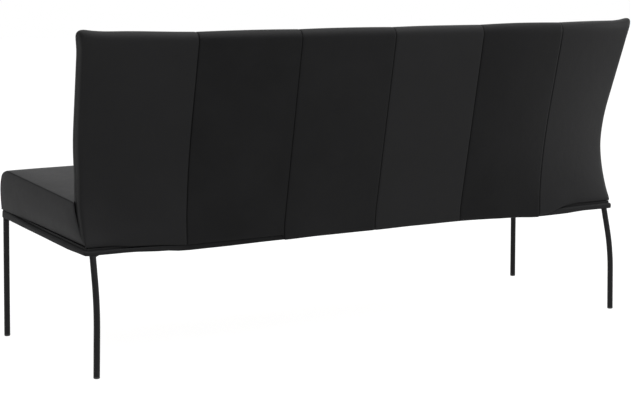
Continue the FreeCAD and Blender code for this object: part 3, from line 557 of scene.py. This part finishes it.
def seat_place(flat):
    """Bend a point of the straight block into the form of the cushion."""
    x, p, q = flat
    reach = max(0.0, abs(x) - 2 * PANEL) / PANEL

    def across_at(v):
        if reach > 0:
            return 2 * PANEL + reach * (seat_half(v) - 2 * PANEL)
        return abs(x)

    guess = across_at(p * DEPTH_GUESS)
    f = guess / seat_half(p * DEPTH_GUESS)
    heel = (seat_tail(guess, TOE[1]), TOE[1])
    crest = SEAM_REAR + CROWN_REAR * crown_at(f)
    crest = (seat_tail(guess, crest), crest)
    front = seat_front(q, f)
    level = heel[1] + (crest[1] - heel[1]) * q
    rear = (seat_tail(guess, level), level)
    top = seat_top(p, f, crest[0])
    low = (TOE[0] + (heel[0] - TOE[0]) * p, TOE[1])
    brow = seat_front(1.0, f)
    place = []
    for axis in (0, 1):
        edges = (1 - p) * front[axis] + p * rear[axis] + (1 - q) * low[axis] + q * top[axis]
        fore = (1 - q) * TOE[axis] + q * brow[axis]
        aft = (1 - q) * heel[axis] + q * crest[axis]
        place.append(edges - ((1 - p) * fore + p * aft))
    v, w = place
    # the lower edge turns in above the bead
    turn_in = TURN_IN + TURN_MORE * ease(*TURN_RUN, v)
    turn_in *= 1 - roll(w - TOE[1], TURN_ROUND)
    across = across_at(v)
    if reach > END_SHARE:
        across -= turn_in
    if p < TINY:
        v += turn_in
    return on_seat(math.copysign(across, x), v, w)


def make_seat():
    seat = start_block("seat_cushion", (-FLAT_HALF, 0, 0), (FLAT_HALF, 1, 1))
    cut(seat, 0, panel_columns(SEAT_END_LOOPS))
    rows = [ROLL_SHARE + (1 - ROLL_SHARE) * number / SEAT_ROWS for number in range(1, SEAT_ROWS)]
    cut(seat, 1, SEAT_NOSE_LOOPS + rows)
    cut(seat, 2, SEAT_LEVELS)
    # the lower edge stays sharp where it lies on the bead
    points = seat.data.vertices
    sharp = seat.data.attributes.new("crease_edge", "FLOAT", "EDGE")
    for edge in seat.data.edges:
        a, b = (points[number].co for number in edge.vertices)
        outer = min(abs(a.x), abs(b.x)) > FLAT_HALF - TINY or max(a.y, b.y) < TINY
        if outer and max(a.z, b.z) < TINY:
            sharp.data[edge.index].value = 1.0
    rim = []
    sewn = []
    for point in seat.data.vertices:
        x, p, q = point.co
        skin = q > 1 - TINY or p < TINY
        at_end = abs(x) > FLAT_HALF - TINY
        if at_end and skin and q > SEAT_LEVELS[0] + TINY:
            rim.append(point.index)
        fast = q < SEAT_LEVELS[1] + TINY or p > 1 - TINY
        if fast or skin and (at_end or at_seam(x)):
            sewn.append(point.index)
    for point in seat.data.vertices:
        point.co = seat_place(point.co)
    seat.data.update()
    pad_out(seat, sewn, SEAT_SWELL)
    sew(seat, [seat.data.vertices[number] for number in rim], SEAT_RIM_DEPTH)
    cut_beside_seams(seat)
    # the seams run over the top and down the front
    lines = []
    for point in seat.data.vertices:
        if at_seam(point.co.x) and point.normal.z - 0.8 * point.normal.y > 0.3:
            lines.append(point)
    sew(seat, lines, SEAM_DEPTH)
    refine(seat, 1)
    return seat


seat = make_seat()
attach(seat, "root")
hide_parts("seat_cover", "seat_foam", "spring_pad")


# Bead round the base board, wrapped in the back's leather
CORNER_STEPS = 7
ROUND_STEPS = 5
MANY_SIDES = 20


def frame_ring(name, margin, low, high, corner, width, top_round, low_round):
    """A ring that follows the edge of the base: a block, tapered, rounded and hollowed."""
    front = BASE_HALF_FRONT - margin
    ring = start_block(name, (-front, margin, low), (front, BASE_DEPTH - margin, high))
    for point in ring.data.vertices:
        if point.co.y > BASE_DEPTH / 2:
            point.co.x *= (BASE_HALF_REAR - margin) / front
    pick_edges(ring, lambda a, b: abs(a.z - b.z) > (high - low) / 2)
    bpy.ops.mesh.bevel(offset=corner, segments=CORNER_STEPS, affect="EDGES")
    for level, rounding in ((high, top_round), (low, low_round)):
        pick_edges(ring, lambda a, b: abs(a.z - level) + abs(b.z - level) < TINY)
        bpy.ops.mesh.bevel(offset=rounding, segments=ROUND_STEPS, affect="EDGES")
        pick_faces(
            ring,
            lambda face: len(face.vertices) > MANY_SIDES and abs(face.center.z - level) < TINY,
        )
        bpy.ops.mesh.inset(thickness=width - rounding)
        bpy.ops.mesh.delete(type="FACE")
    bpy.ops.mesh.select_mode(type="EDGE")
    bpy.ops.mesh.select_non_manifold()
    bpy.ops.mesh.bridge_edge_loops()
    bpy.ops.object.mode_set(mode="OBJECT")
    return ring


BEAD_DROP = 0.004
BEAD_CORNER = 0.010
BEAD_ROUND = 0.0088
BEAD_LOW_ROUND = 0.003
BEAD_STEP = 0.03
BEAD_PULL = 0.0007
# How full its upper edge is in front and behind, and how far it dips, back along the slope
FULL_FRONT = 5
FULL_REAR = 2
FULL_RUN = (0.03, 0.30)
BEAD_DIP = 0.0055
DIP_RUN = (0.02, 0.22)
# How far its lower edge hangs below that along the rear, across the bench
SAG = [
    (-0.760, 0.0), (-0.665, 0.0044), (-0.585, 0.0054), (-0.475, 0.0004), (-0.295, -0.0036),
    (-0.140, -0.003), (0.0, -0.0016), (0.175, -0.0006), (0.305, 0.0014), (0.490, 0.0044),
    (0.585, 0.0054), (0.640, 0.0008), (0.740, -0.0040),
]
SAG_RUN = (BASE_DEPTH - 0.12, BASE_DEPTH - BEAD_DEPTH)
# The leather's lap over the board's edge
LAP_WIDTH = 0.018
LAP_OVER = 0.0014
LAP_BELOW = 0.002
LAP_ABOVE = 0.0002
LAP_ROUND = 0.00005
# Only the rear of the bead, to this depth, takes the back panels' paleness: their hides with painted light
# in them
TONE_AND_LIGHT_DEPTH = 0.02


def make_bead():
    bead = frame_ring(
        "wrapped_bead",
        margin=0.0,
        low=-BEAD_DROP,
        high=BASE_THICKNESS,
        corner=BEAD_CORNER,
        width=BEAD_DEPTH,
        top_round=BEAD_ROUND,
        low_round=BEAD_LOW_ROUND,
    )
    cut(bead, 0, [number * BEAD_STEP for number in range(-29, 30)])
    cut(bead, 1, [number * BEAD_STEP for number in range(1, 18)])
    tall = BASE_THICKNESS + BEAD_DROP
    for point in bead.data.vertices:
        outward = point.normal.copy()
        outward.z *= 0.4
        x, v, w = point.co
        pull = noise.noise(Vector((x * 9, v * 9, w * 30)))
        if w < BASE_THICKNESS - 0.0001:
            point.co += outward * BEAD_PULL * pull
        # its upper edge is full in front, close under the cushion, and lower further back
        rise = (w - BASE_THICKNESS + BEAD_ROUND) / BEAD_ROUND
        outward.z = 0
        if 0 < rise < 0.999 and outward.length > 0.02:
            fullness = FULL_FRONT + (FULL_REAR - FULL_FRONT) * ease(*FULL_RUN, v)
            spare = (1 - rise**fullness) ** (1 / fullness) - math.sqrt(1 - rise * rise)
            point.co += outward.normalized() * BEAD_ROUND * spare
        dip = BEAD_DIP * ease(*DIP_RUN, v) * (w + BEAD_DROP) / tall
        sag = along(SAG, x) * ease(*SAG_RUN, v) * (BASE_THICKNESS - w) / tall
        point.co.z -= dip + sag
    # the leather goes on over the board's edge, under the cushion
    edge = BEAD_DEPTH - LAP_OVER
    lap = frame_ring(
        "lap",
        margin=edge,
        low=BASE_THICKNESS - BEAD_DIP - LAP_BELOW,
        high=BASE_THICKNESS + LAP_ABOVE,
        corner=BEAD_CORNER - edge,
        width=LAP_WIDTH,
        top_round=LAP_ROUND,
        low_round=LAP_ROUND,
    )
    take(bead)
    lap.select_set(True)
    bpy.ops.object.join()
    for point in bead.data.vertices:
        point.co = on_seat(*point.co)
    bead.data.update()
    paint_tone_and_light(bead)
    # away from the rear the bead loses the panels' painted light and hide paleness
    for point in bead.data.vertices:
        if point.co.y < REAR_EDGE_Y - TONE_AND_LIGHT_DEPTH:
            bead.data.attributes["tone_and_light"].data[point.index].value = 0.0
    take(bead)
    bpy.ops.object.shade_smooth_by_angle(angle=math.radians(50))
    return bead


bead = make_bead()
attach(bead, "root")
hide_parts("edge_bead")


# Lining under the board: thin black cloth, stapled along its edge
LINING_FRONT = 2 * (base_half(LINING_MARGIN) - LINING_MARGIN)
LINING_REAR = 2 * (base_half(BASE_DEPTH - LINING_MARGIN) - LINING_MARGIN)
LINING_DEEP = BASE_DEPTH - 2 * LINING_MARGIN
LINING_WALL = 0.0006
LINING_COLUMN = 0.02
LINING_ROW = 0.0181
LINING_HEM = 0.004
# How far it lies below the board at its edge, and how much more where it hangs loose
LINING_DROP = 0.0013
LINING_SLACK = 0.0014
LINING_FOLD = 0.0012
LINING_HELD = 0.05


def make_lining():
    front = LINING_MARGIN
    rear = BASE_DEPTH - LINING_MARGIN
    pick_nothing()
    bpy.ops.mesh.primitive_plane_add(size=1, location=(0, (front + rear) / 2, 0))
    lining = bpy.context.object
    lining.name = "under_lining"
    lining.data.name = "under_lining"
    lining.scale = (LINING_FRONT, LINING_DEEP, 1)
    bpy.ops.object.transform_apply(location=True, rotation=False, scale=True)
    for point in lining.data.vertices:
        if point.co.y > BASE_DEPTH / 2:
            point.co.x *= LINING_REAR / LINING_FRONT
    cut(lining, 0, [number * LINING_COLUMN for number in range(-39, 40)])
    rows = [front + number * LINING_ROW for number in range(1, 20)]
    cut(lining, 1, [front + LINING_HEM] + rows + [rear - LINING_HEM])
    for point in lining.data.vertices:
        x, v, w = point.co
        edge = min(v - front, rear - v, base_half(v) - LINING_MARGIN - abs(x))
        loose = ease(0.0, LINING_HELD, edge)
        fold = noise.noise(Vector((x * 7, v * 16, 0.4)))
        point.co = on_seat(x, v, -LINING_DROP - loose * (LINING_SLACK + LINING_FOLD * fold))
    lining.data.update()
    take(lining)
    wall = lining.modifiers.new("cloth", "SOLIDIFY")
    wall.thickness = LINING_WALL
    wall.offset = 0
    bpy.ops.object.modifier_apply(modifier=wall.name)
    bpy.ops.object.shade_smooth()
    return lining


lining = make_lining()
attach(lining, "root")
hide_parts("dust_cover")


STAPLE_LOW = (-0.006, -0.0006, -0.0026)
STAPLE_HIGH = (0.006, 0.0006, -0.0016)
STAPLE_BEND = 0.0048
STAPLE_ROUND = 0.0003
STAPLE_RISE = 0.0008
STAPLE_INSET = 0.006
# Staples each way from the middle along the front and the rear, and down each end
STAPLES_ALONG = 15
STEP_FRONT = 0.051
STEP_REAR = 0.050
STAPLES_DOWN = 7
END_ROOM = 0.02
STAPLE_SKEW = 4


def make_staples():
    """One wire staple, modelled flat under the board and copied along the lining's edge."""
    staple = start_block("lining_staples", STAPLE_LOW, STAPLE_HIGH)
    cut(staple, 0, [-STAPLE_BEND, STAPLE_BEND])
    pick_edges(staple, lambda a, b: abs(a.x - b.x) > TINY)
    bpy.ops.mesh.bevel(offset=STAPLE_ROUND, segments=2, affect="EDGES")
    bpy.ops.object.mode_set(mode="OBJECT")
    for point in staple.data.vertices:
        if abs(point.co.x) > STAPLE_BEND + TINY:
            point.co.z += STAPLE_RISE
    front = LINING_MARGIN + STAPLE_INSET
    rear = BASE_DEPTH - LINING_MARGIN - STAPLE_INSET
    spots = []
    for number in range(-STAPLES_ALONG, STAPLES_ALONG + 1):
        skew_front = STAPLE_SKEW * noise.noise(Vector((number, 0.3, 0)))
        skew_rear = STAPLE_SKEW * noise.noise(Vector((number, 0.7, 0)))
        spots.append((number * STEP_FRONT, front, skew_front))
        spots.append((number * STEP_REAR, rear, skew_rear))
    run = rear - front - 2 * END_ROOM
    for number in range(STAPLES_DOWN):
        v = front + END_ROOM + number * run / (STAPLES_DOWN - 1)
        for side in (-1, 1):
            spots.append((side * (base_half(v) - LINING_MARGIN - STAPLE_INSET), v, 90.0))
    row = []
    for x, v, turn in spots:
        take(staple)
        bpy.ops.object.duplicate()
        copy = bpy.context.object
        cosine = math.cos(math.radians(turn))
        sine = math.sin(math.radians(turn))
        for point in copy.data.vertices:
            a, b, c = point.co
            point.co = on_seat(x + a * cosine - b * sine, v + a * sine + b * cosine, c)
        row.append(copy)
    pick_nothing()
    for copy in row:
        copy.select_set(True)
    bpy.context.view_layer.objects.active = row[0]
    bpy.ops.object.join()
    staples = bpy.context.object
    bpy.data.objects.remove(staple)
    staples.name = "lining_staples"
    staples.data.name = "lining_staples"
    bpy.ops.object.shade_smooth_by_angle(angle=math.radians(40))
    return staples


staples = make_staples()
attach(staples, "root")


# Finishes

class Finish:
    """A material under way: its nodes, its shader and the piece's own coordinates."""

    def __init__(self, name, colour, roughness, specular=0.5, metal=0.0):
        self.material = bpy.data.materials.new(name)
        self.material.use_nodes = True
        self.tree = self.material.node_tree
        self.shader = self.tree.nodes["Principled BSDF"]
        self.set(self.shader, "Base Color", (*colour, 1))
        self.set(self.shader, "Roughness", roughness)
        self.set(self.shader, "Specular IOR Level", specular)
        self.set(self.shader, "Metallic", metal)
        self.place = self.add("ShaderNodeTexCoord").outputs["Object"]
        self.surface = None

    def add(self, kind, **values):
        node = self.tree.nodes.new(kind)
        for name, value in values.items():
            setattr(node, name, value)
        return node

    def set(self, node, socket, value):
        node.inputs[socket].default_value = value

    def join(self, source, node, socket):
        self.tree.links.new(source, node.inputs[socket])

    def stretched(self, scale):
        node = self.add("ShaderNodeMapping")
        self.join(self.place, node, "Vector")
        self.set(node, "Scale", scale)
        return node.outputs["Vector"]

    def noise(self, scale, detail=2.0, rough=0.5, place=None):
        node = self.add("ShaderNodeTexNoise")
        self.join(place or self.place, node, "Vector")
        self.set(node, "Scale", scale)
        self.set(node, "Detail", detail)
        self.set(node, "Roughness", rough)
        return node.outputs["Fac"]

    def cells(self, scale, feature="F1", place=None):
        node = self.add("ShaderNodeTexVoronoi", feature=feature)
        self.join(place or self.place, node, "Vector")
        self.set(node, "Scale", scale)
        return node.outputs["Distance"]

    def spread(self, source, low, high, start=0.0, end=1.0):
        node = self.add("ShaderNodeMapRange")
        self.join(source, node, "Value")
        self.set(node, "From Min", start)
        self.set(node, "From Max", end)
        self.set(node, "To Min", low)
        self.set(node, "To Max", high)
        return node.outputs["Result"]

    def blend(self, share, first, second):
        node = self.add("ShaderNodeMix", data_type="RGBA")
        self.join(share, node, 0)
        for number, colour in ((6, first), (7, second)):
            if isinstance(colour, tuple):
                node.inputs[number].default_value = (*colour, 1)
            else:
                self.tree.links.new(colour, node.inputs[number])
        return node.outputs[2]

    def combine(self, first, second, operation="ADD"):
        node = self.add("ShaderNodeMath", operation=operation)
        for number, value in enumerate((first, second)):
            if isinstance(value, (int, float)):
                node.inputs[number].default_value = value
            else:
                self.tree.links.new(value, node.inputs[number])
        return node.outputs[0]

    def emboss(self, height, distance, strength=1.0):
        node = self.add("ShaderNodeBump")
        self.join(height, node, "Height")
        self.set(node, "Distance", distance)
        self.set(node, "Strength", strength)
        if self.surface:
            self.join(self.surface, node, "Normal")
        self.surface = node.outputs["Normal"]

    def done(self, colour=None, roughness=None):
        if colour:
            self.join(colour, self.shader, "Base Color")
        if roughness:
            self.join(roughness, self.shader, "Roughness")
        if self.surface:
            self.join(self.surface, self.shader, "Normal")
        return self.material


def shade_of(colour, share):
    """The same colour, made lighter or darker by a share."""
    return tuple(share * part for part in colour)


LEATHER_ROUGH = (0.46, 0.56)
THREAD_AND_SHADOW_BLACK = (0.002, 0.002, 0.002)
STITCH_LENGTH = 0.0045


def black_leather(name, dark, worn, pale, gloss):
    """Matt black leather: pebbled grain, soft creases, and dark thread with painted shadow down in each
    seam.
    """
    finish = Finish(name, dark, LEATHER_ROUGH[0], specular=gloss)
    tone_and_light = finish.add("ShaderNodeAttribute", attribute_name="tone_and_light").outputs["Fac"]
    seam = finish.add("ShaderNodeAttribute", attribute_name="seam").outputs["Fac"]
    mottle = finish.noise(scale=5.0, detail=5.0, rough=0.6)
    grain = finish.cells(scale=620.0, feature="SMOOTH_F1")
    pores = finish.noise(scale=2400.0, detail=2.0)
    crease = finish.noise(scale=38.0, detail=4.0, rough=0.62)
    colour = finish.blend(finish.spread(mottle, 0.0, 1.0, start=0.3, end=0.7), dark, worn)
    # paler by the painted paleness: the panels' hides with painted light, and painted shade on the end
    # walls
    colour = finish.blend(tone_and_light, colour, pale)
    # the seam's groove is painted near black: partly its dark thread, partly painted shadow in the groove
    colour = finish.blend(finish.spread(seam, 0.0, 1.0, start=0.25, end=0.8), colour, THREAD_AND_SHADOW_BLACK)
    roughness = finish.spread(mottle, *LEATHER_ROUGH, start=0.3, end=0.7)
    roughness = finish.combine(roughness, finish.spread(grain, 0.0, 0.06, start=0.2, end=0.8))
    roughness = finish.combine(roughness, finish.spread(seam, 0.0, 0.4, start=0.25, end=0.8))
    # stitches: short dashes of thread along the seam's line
    split = finish.add("ShaderNodeSeparateXYZ")
    finish.join(finish.place, split, "Vector")
    run = finish.combine(split.outputs["X"], split.outputs["Y"])
    run = finish.combine(run, split.outputs["Z"])
    run = finish.combine(run, 2 * math.pi / STITCH_LENGTH, "MULTIPLY")
    dash = finish.combine(run, 0, "SINE")
    thread = finish.spread(dash, 0.0, 1.0, start=-0.2, end=0.6)
    thread = finish.combine(thread, finish.spread(seam, 0.0, 1.0, start=0.6, end=0.95), "MULTIPLY")
    finish.emboss(crease, distance=0.0006)
    finish.emboss(finish.combine(grain, finish.combine(pores, 0.3, "MULTIPLY")), distance=0.00022)
    finish.emboss(thread, distance=0.0004)
    return finish.done(colour, roughness)


def powder_coat(name, colour, roughness):
    """Black powder coat on steel: fine orange peel and a few rubbed specks."""
    finish = Finish(name, colour, roughness, specular=0.15)
    peel = finish.noise(scale=700.0, detail=2.0)
    rub = finish.noise(scale=14.0, detail=5.0, rough=0.65)
    worn = finish.spread(rub, 0.0, 1.0, start=0.55, end=0.8)
    shade = finish.blend(worn, colour, shade_of(colour, 2.2))
    finish.emboss(peel, distance=0.00012)
    return finish.done(shade, finish.spread(rub, roughness - 0.06, roughness + 0.1, start=0.3, end=0.7))


def moulded_plastic(name, colour):
    """Black plastic: fine texture and pale scuffs."""
    finish = Finish(name, colour, 0.55, specular=0.4)
    speck = finish.noise(scale=1800.0, detail=2.0)
    scuff = finish.noise(scale=60.0, detail=4.0)
    worn = finish.spread(scuff, 0.0, 1.0, start=0.5, end=0.8)
    shade = finish.blend(worn, colour, shade_of(colour, 1.8))
    finish.emboss(speck, distance=0.00008)
    return finish.done(shade, finish.spread(scuff, 0.5, 0.7, start=0.3, end=0.7))


def bare_steel(name, colour, roughness):
    """Drawn steel: fine lines along it and a little tarnish."""
    finish = Finish(name, colour, roughness, metal=1.0)
    lengthways = finish.stretched((0.15, 1.0, 1.0))
    drawn = finish.noise(scale=260.0, detail=3.0, rough=0.6, place=lengthways)
    tarnish = finish.noise(scale=45.0, detail=4.0)
    worn = finish.spread(tarnish, 0.0, 0.7, start=0.4, end=0.75)
    shade = finish.blend(worn, colour, shade_of(colour, 0.55))
    finish.emboss(drawn, distance=0.00008)
    return finish.done(shade, finish.spread(drawn, roughness - 0.08, roughness + 0.14, start=0.3, end=0.7))


def sawn_timber(name, pale, deep, grain_way):
    """Planed wood: rings stretched along the grain, with fine pores."""
    finish = Finish(name, pale, 0.6, specular=0.3)
    rings = finish.noise(scale=24.0, detail=4.0, rough=0.55, place=finish.stretched(grain_way))
    pores = finish.noise(scale=260.0, detail=3.0, rough=0.6, place=finish.stretched(grain_way))
    colour = finish.blend(finish.spread(rings, 0.0, 1.0, start=0.35, end=0.65), pale, deep)
    dark = finish.spread(pores, 0.0, 0.5, start=0.55, end=0.75)
    colour = finish.blend(dark, colour, shade_of(deep, 0.5))
    finish.emboss(pores, distance=0.0003)
    return finish.done(colour, finish.spread(rings, 0.52, 0.68, start=0.3, end=0.7))


def woven_cloth(name, colour):
    """Thin black lining: a plain weave that follows the board, with a painted highlight on its raised
    threads.
    """
    finish = Finish(name, colour, 0.9, specular=0.2)
    heights = []
    for direction in ("X", "Y"):
        wave = finish.add("ShaderNodeTexWave", wave_type="BANDS", bands_direction=direction)
        finish.join(finish.place, wave, "Vector")
        finish.set(wave, "Scale", 260.0)
        heights.append(wave.outputs["Fac"])
    weave = finish.combine(heights[0], heights[1], "MULTIPLY")
    fuzz = finish.noise(scale=900.0, detail=3.0)
    # paler where the weave stands up, a painted highlight, with the fuzz's random flecks
    painted_relief_light = finish.spread(finish.combine(weave, fuzz), 0.0, 1.0, start=0.2, end=1.4)
    shade = finish.blend(painted_relief_light, colour, shade_of(colour, 2.4))
    finish.emboss(weave, distance=0.0003)
    return finish.done(shade)


def soft_fill(name, colour):
    """Foam or felt: open cells, painted darker inside as shade in their hollows."""
    finish = Finish(name, colour, 0.95, specular=0.1)
    cells = finish.cells(scale=420.0)
    finish.emboss(cells, distance=0.0006)
    # painted shade in each cell's hollow, paler on the cell walls
    painted_relief_light = finish.spread(cells, 0.0, 1.0, start=0.0, end=0.7)
    shade = finish.blend(painted_relief_light, shade_of(colour, 0.6), colour)
    return finish.done(shade)


# The seat and the back are one black leather in two copies: the seat's is paler, painted light on its top,
# and the back's darker, painted shade on the rear; the bead wears the back's copy
SEAT_BLACK_LIT = (0.008, 0.008, 0.0085)
SEAT_WORN_LIT = (0.012, 0.012, 0.0125)
BACK_BLACK_SHADED = (0.003, 0.003, 0.0032)
BACK_WORN_SHADED = (0.006, 0.006, 0.0063)
PALE_HIDE_AND_LIGHT = (0.016, 0.016, 0.0165)
FINISHES = {
    "seat_leather": black_leather("seat_leather", SEAT_BLACK_LIT, SEAT_WORN_LIT, PALE_HIDE_AND_LIGHT, gloss=0.10),
    "back_leather": black_leather("back_leather", BACK_BLACK_SHADED, BACK_WORN_SHADED, PALE_HIDE_AND_LIGHT, gloss=0.075),
    "leg_paint": powder_coat("leg_paint", (0.006, 0.006, 0.0065), roughness=0.46),
    "plate_paint": powder_coat("plate_paint", (0.010, 0.010, 0.011), roughness=0.5),
    "glide_plastic": moulded_plastic("glide_plastic", (0.014, 0.014, 0.014)),
    "spring_steel": bare_steel("spring_steel", (0.42, 0.42, 0.44), roughness=0.38),
    "screw_steel": bare_steel("screw_steel", (0.55, 0.54, 0.52), roughness=0.32),
    "timber": sawn_timber("timber", (0.60, 0.42, 0.26), (0.44, 0.28, 0.15), grain_way=(0.06, 1.0, 1.0)),
    "plywood": sawn_timber("plywood", (0.62, 0.47, 0.31), (0.48, 0.33, 0.20), grain_way=(0.08, 1.0, 1.6)),
    "lining_cloth": woven_cloth("lining_cloth", (0.012, 0.012, 0.013)),
    "foam": soft_fill("foam", (0.72, 0.66, 0.48)),
    "felt": soft_fill("felt", (0.30, 0.30, 0.31)),
}


def dress(piece, slot):
    piece.data.materials.clear()
    piece.data.materials.append(FINISHES[slot])


for entry in frame["record"]["subparts"]:
    dress(frame["nodes"][entry["node"]], entry["material_slot"])
dress(back, "back_leather")
dress(seat, "seat_leather")
dress(bead, "back_leather")
dress(lining, "lining_cloth")
dress(staples, "spring_steel")

# Camera as the photograph was taken: from behind, beyond the +X end and a little above
CAMERA_PLACE = (2.2187, 3.8132, 1.0194)
CAMERA_LENS = 86.78
# in degrees: how far it looks down, and how far it is turned round
CAMERA_DIP = 8.39
CAMERA_TURN = 150.53

camera = bpy.data.objects.new("camera", bpy.data.cameras.new("camera"))
bpy.context.scene.collection.objects.link(camera)
camera.location = CAMERA_PLACE
camera.rotation_euler = (math.radians(90 - CAMERA_DIP), 0, math.radians(CAMERA_TURN))
camera.data.lens = CAMERA_LENS
camera.data.sensor_width = 36
bpy.context.scene.camera = camera

# Pale floor and soft studio light
FLOOR_GREY = (0.13, 0.13, 0.13)
FLOOR_GLOW = 0.92

pick_nothing()
bpy.ops.mesh.primitive_plane_add(size=40, location=(0, 0, 0))
floor = bpy.context.object
floor.name = "floor"
floor_finish = Finish("floor_paper", FLOOR_GREY, 0.9, specular=0.1)
floor_finish.set(floor_finish.shader, "Emission Color", (1, 1, 1, 1))
floor_finish.set(floor_finish.shader, "Emission Strength", FLOOR_GLOW)
floor_finish.emboss(floor_finish.noise(scale=300.0, detail=3.0), distance=0.0002)
floor.data.materials.append(floor_finish.done())

# The room is brightest overhead and to one side, and dimmer behind the camera
ROOM_LOW = 0.60
ROOM_TOP = 0.6
ROOM_SIDE = 0.3
ROOM_SHADE = -0.7 * ROOM_SIDE
ROOM_REAR = 0.38


def make_room():
    world = bpy.data.worlds.new("studio")
    bpy.context.scene.world = world
    world.use_nodes = True
    tree = world.node_tree
    room = tree.nodes["Background"]
    way = tree.nodes.new("ShaderNodeSeparateXYZ")
    tree.links.new(tree.nodes.new("ShaderNodeTexCoord").outputs["Generated"], way.inputs[0])

    def ramp(axis, start, end, low, high):
        node = tree.nodes.new("ShaderNodeMapRange")
        tree.links.new(way.outputs[axis], node.inputs["Value"])
        for socket, value in (("From Min", start), ("From Max", end), ("To Min", low), ("To Max", high)):
            node.inputs[socket].default_value = value
        return node.outputs["Result"]

    def joined(operation, first, second):
        node = tree.nodes.new("ShaderNodeMath")
        node.operation = operation
        tree.links.new(first, node.inputs[0])
        tree.links.new(second, node.inputs[1])
        return node.outputs[0]

    height = ramp("Z", 0.0, 1.0, ROOM_LOW, ROOM_LOW + ROOM_TOP)
    light = joined("ADD", height, ramp("X", 1.0, -1.0, ROOM_SHADE, ROOM_SIDE))
    light = joined("MULTIPLY", light, ramp("Y", -0.2, 1.0, 1.0, ROOM_REAR))
    tree.links.new(light, room.inputs["Strength"])
    # the backdrop itself is white paper
    paper = tree.nodes.new("ShaderNodeBackground")
    paper.inputs["Color"].default_value = (1, 1, 1, 1)
    seen = tree.nodes.new("ShaderNodeLightPath")
    choice = tree.nodes.new("ShaderNodeMixShader")
    tree.links.new(seen.outputs["Is Camera Ray"], choice.inputs[0])
    tree.links.new(room.outputs[0], choice.inputs[1])
    tree.links.new(paper.outputs[0], choice.inputs[2])
    tree.links.new(choice.outputs[0], tree.nodes["World Output"].inputs["Surface"])
    room.inputs["Color"].default_value = (1, 1, 1, 1)


make_room()


def softbox(name, place, aim, wide, tall, power):
    light = bpy.data.lights.new(name, "AREA")
    light.shape = "RECTANGLE"
    light.size = wide
    light.size_y = tall
    light.energy = power
    lamp = bpy.data.objects.new(name, light)
    bpy.context.scene.collection.objects.link(lamp)
    lamp.location = place
    lamp.rotation_euler = (Vector(aim) - Vector(place)).to_track_quat("-Z", "Y").to_euler()
    lamp.visible_camera = False


softbox("top_light", place=(0.2, 1.3, 3.3), aim=(0.1, 0.4, 0.4), wide=4.8, tall=4.6, power=230)
softbox("side_light", place=(-4.0, 0.5, 1.3), aim=(-0.85, 0.2, 0.7), wide=0.9, tall=1.4, power=36)
bpy.context.scene.view_settings.view_transform = "Standard"
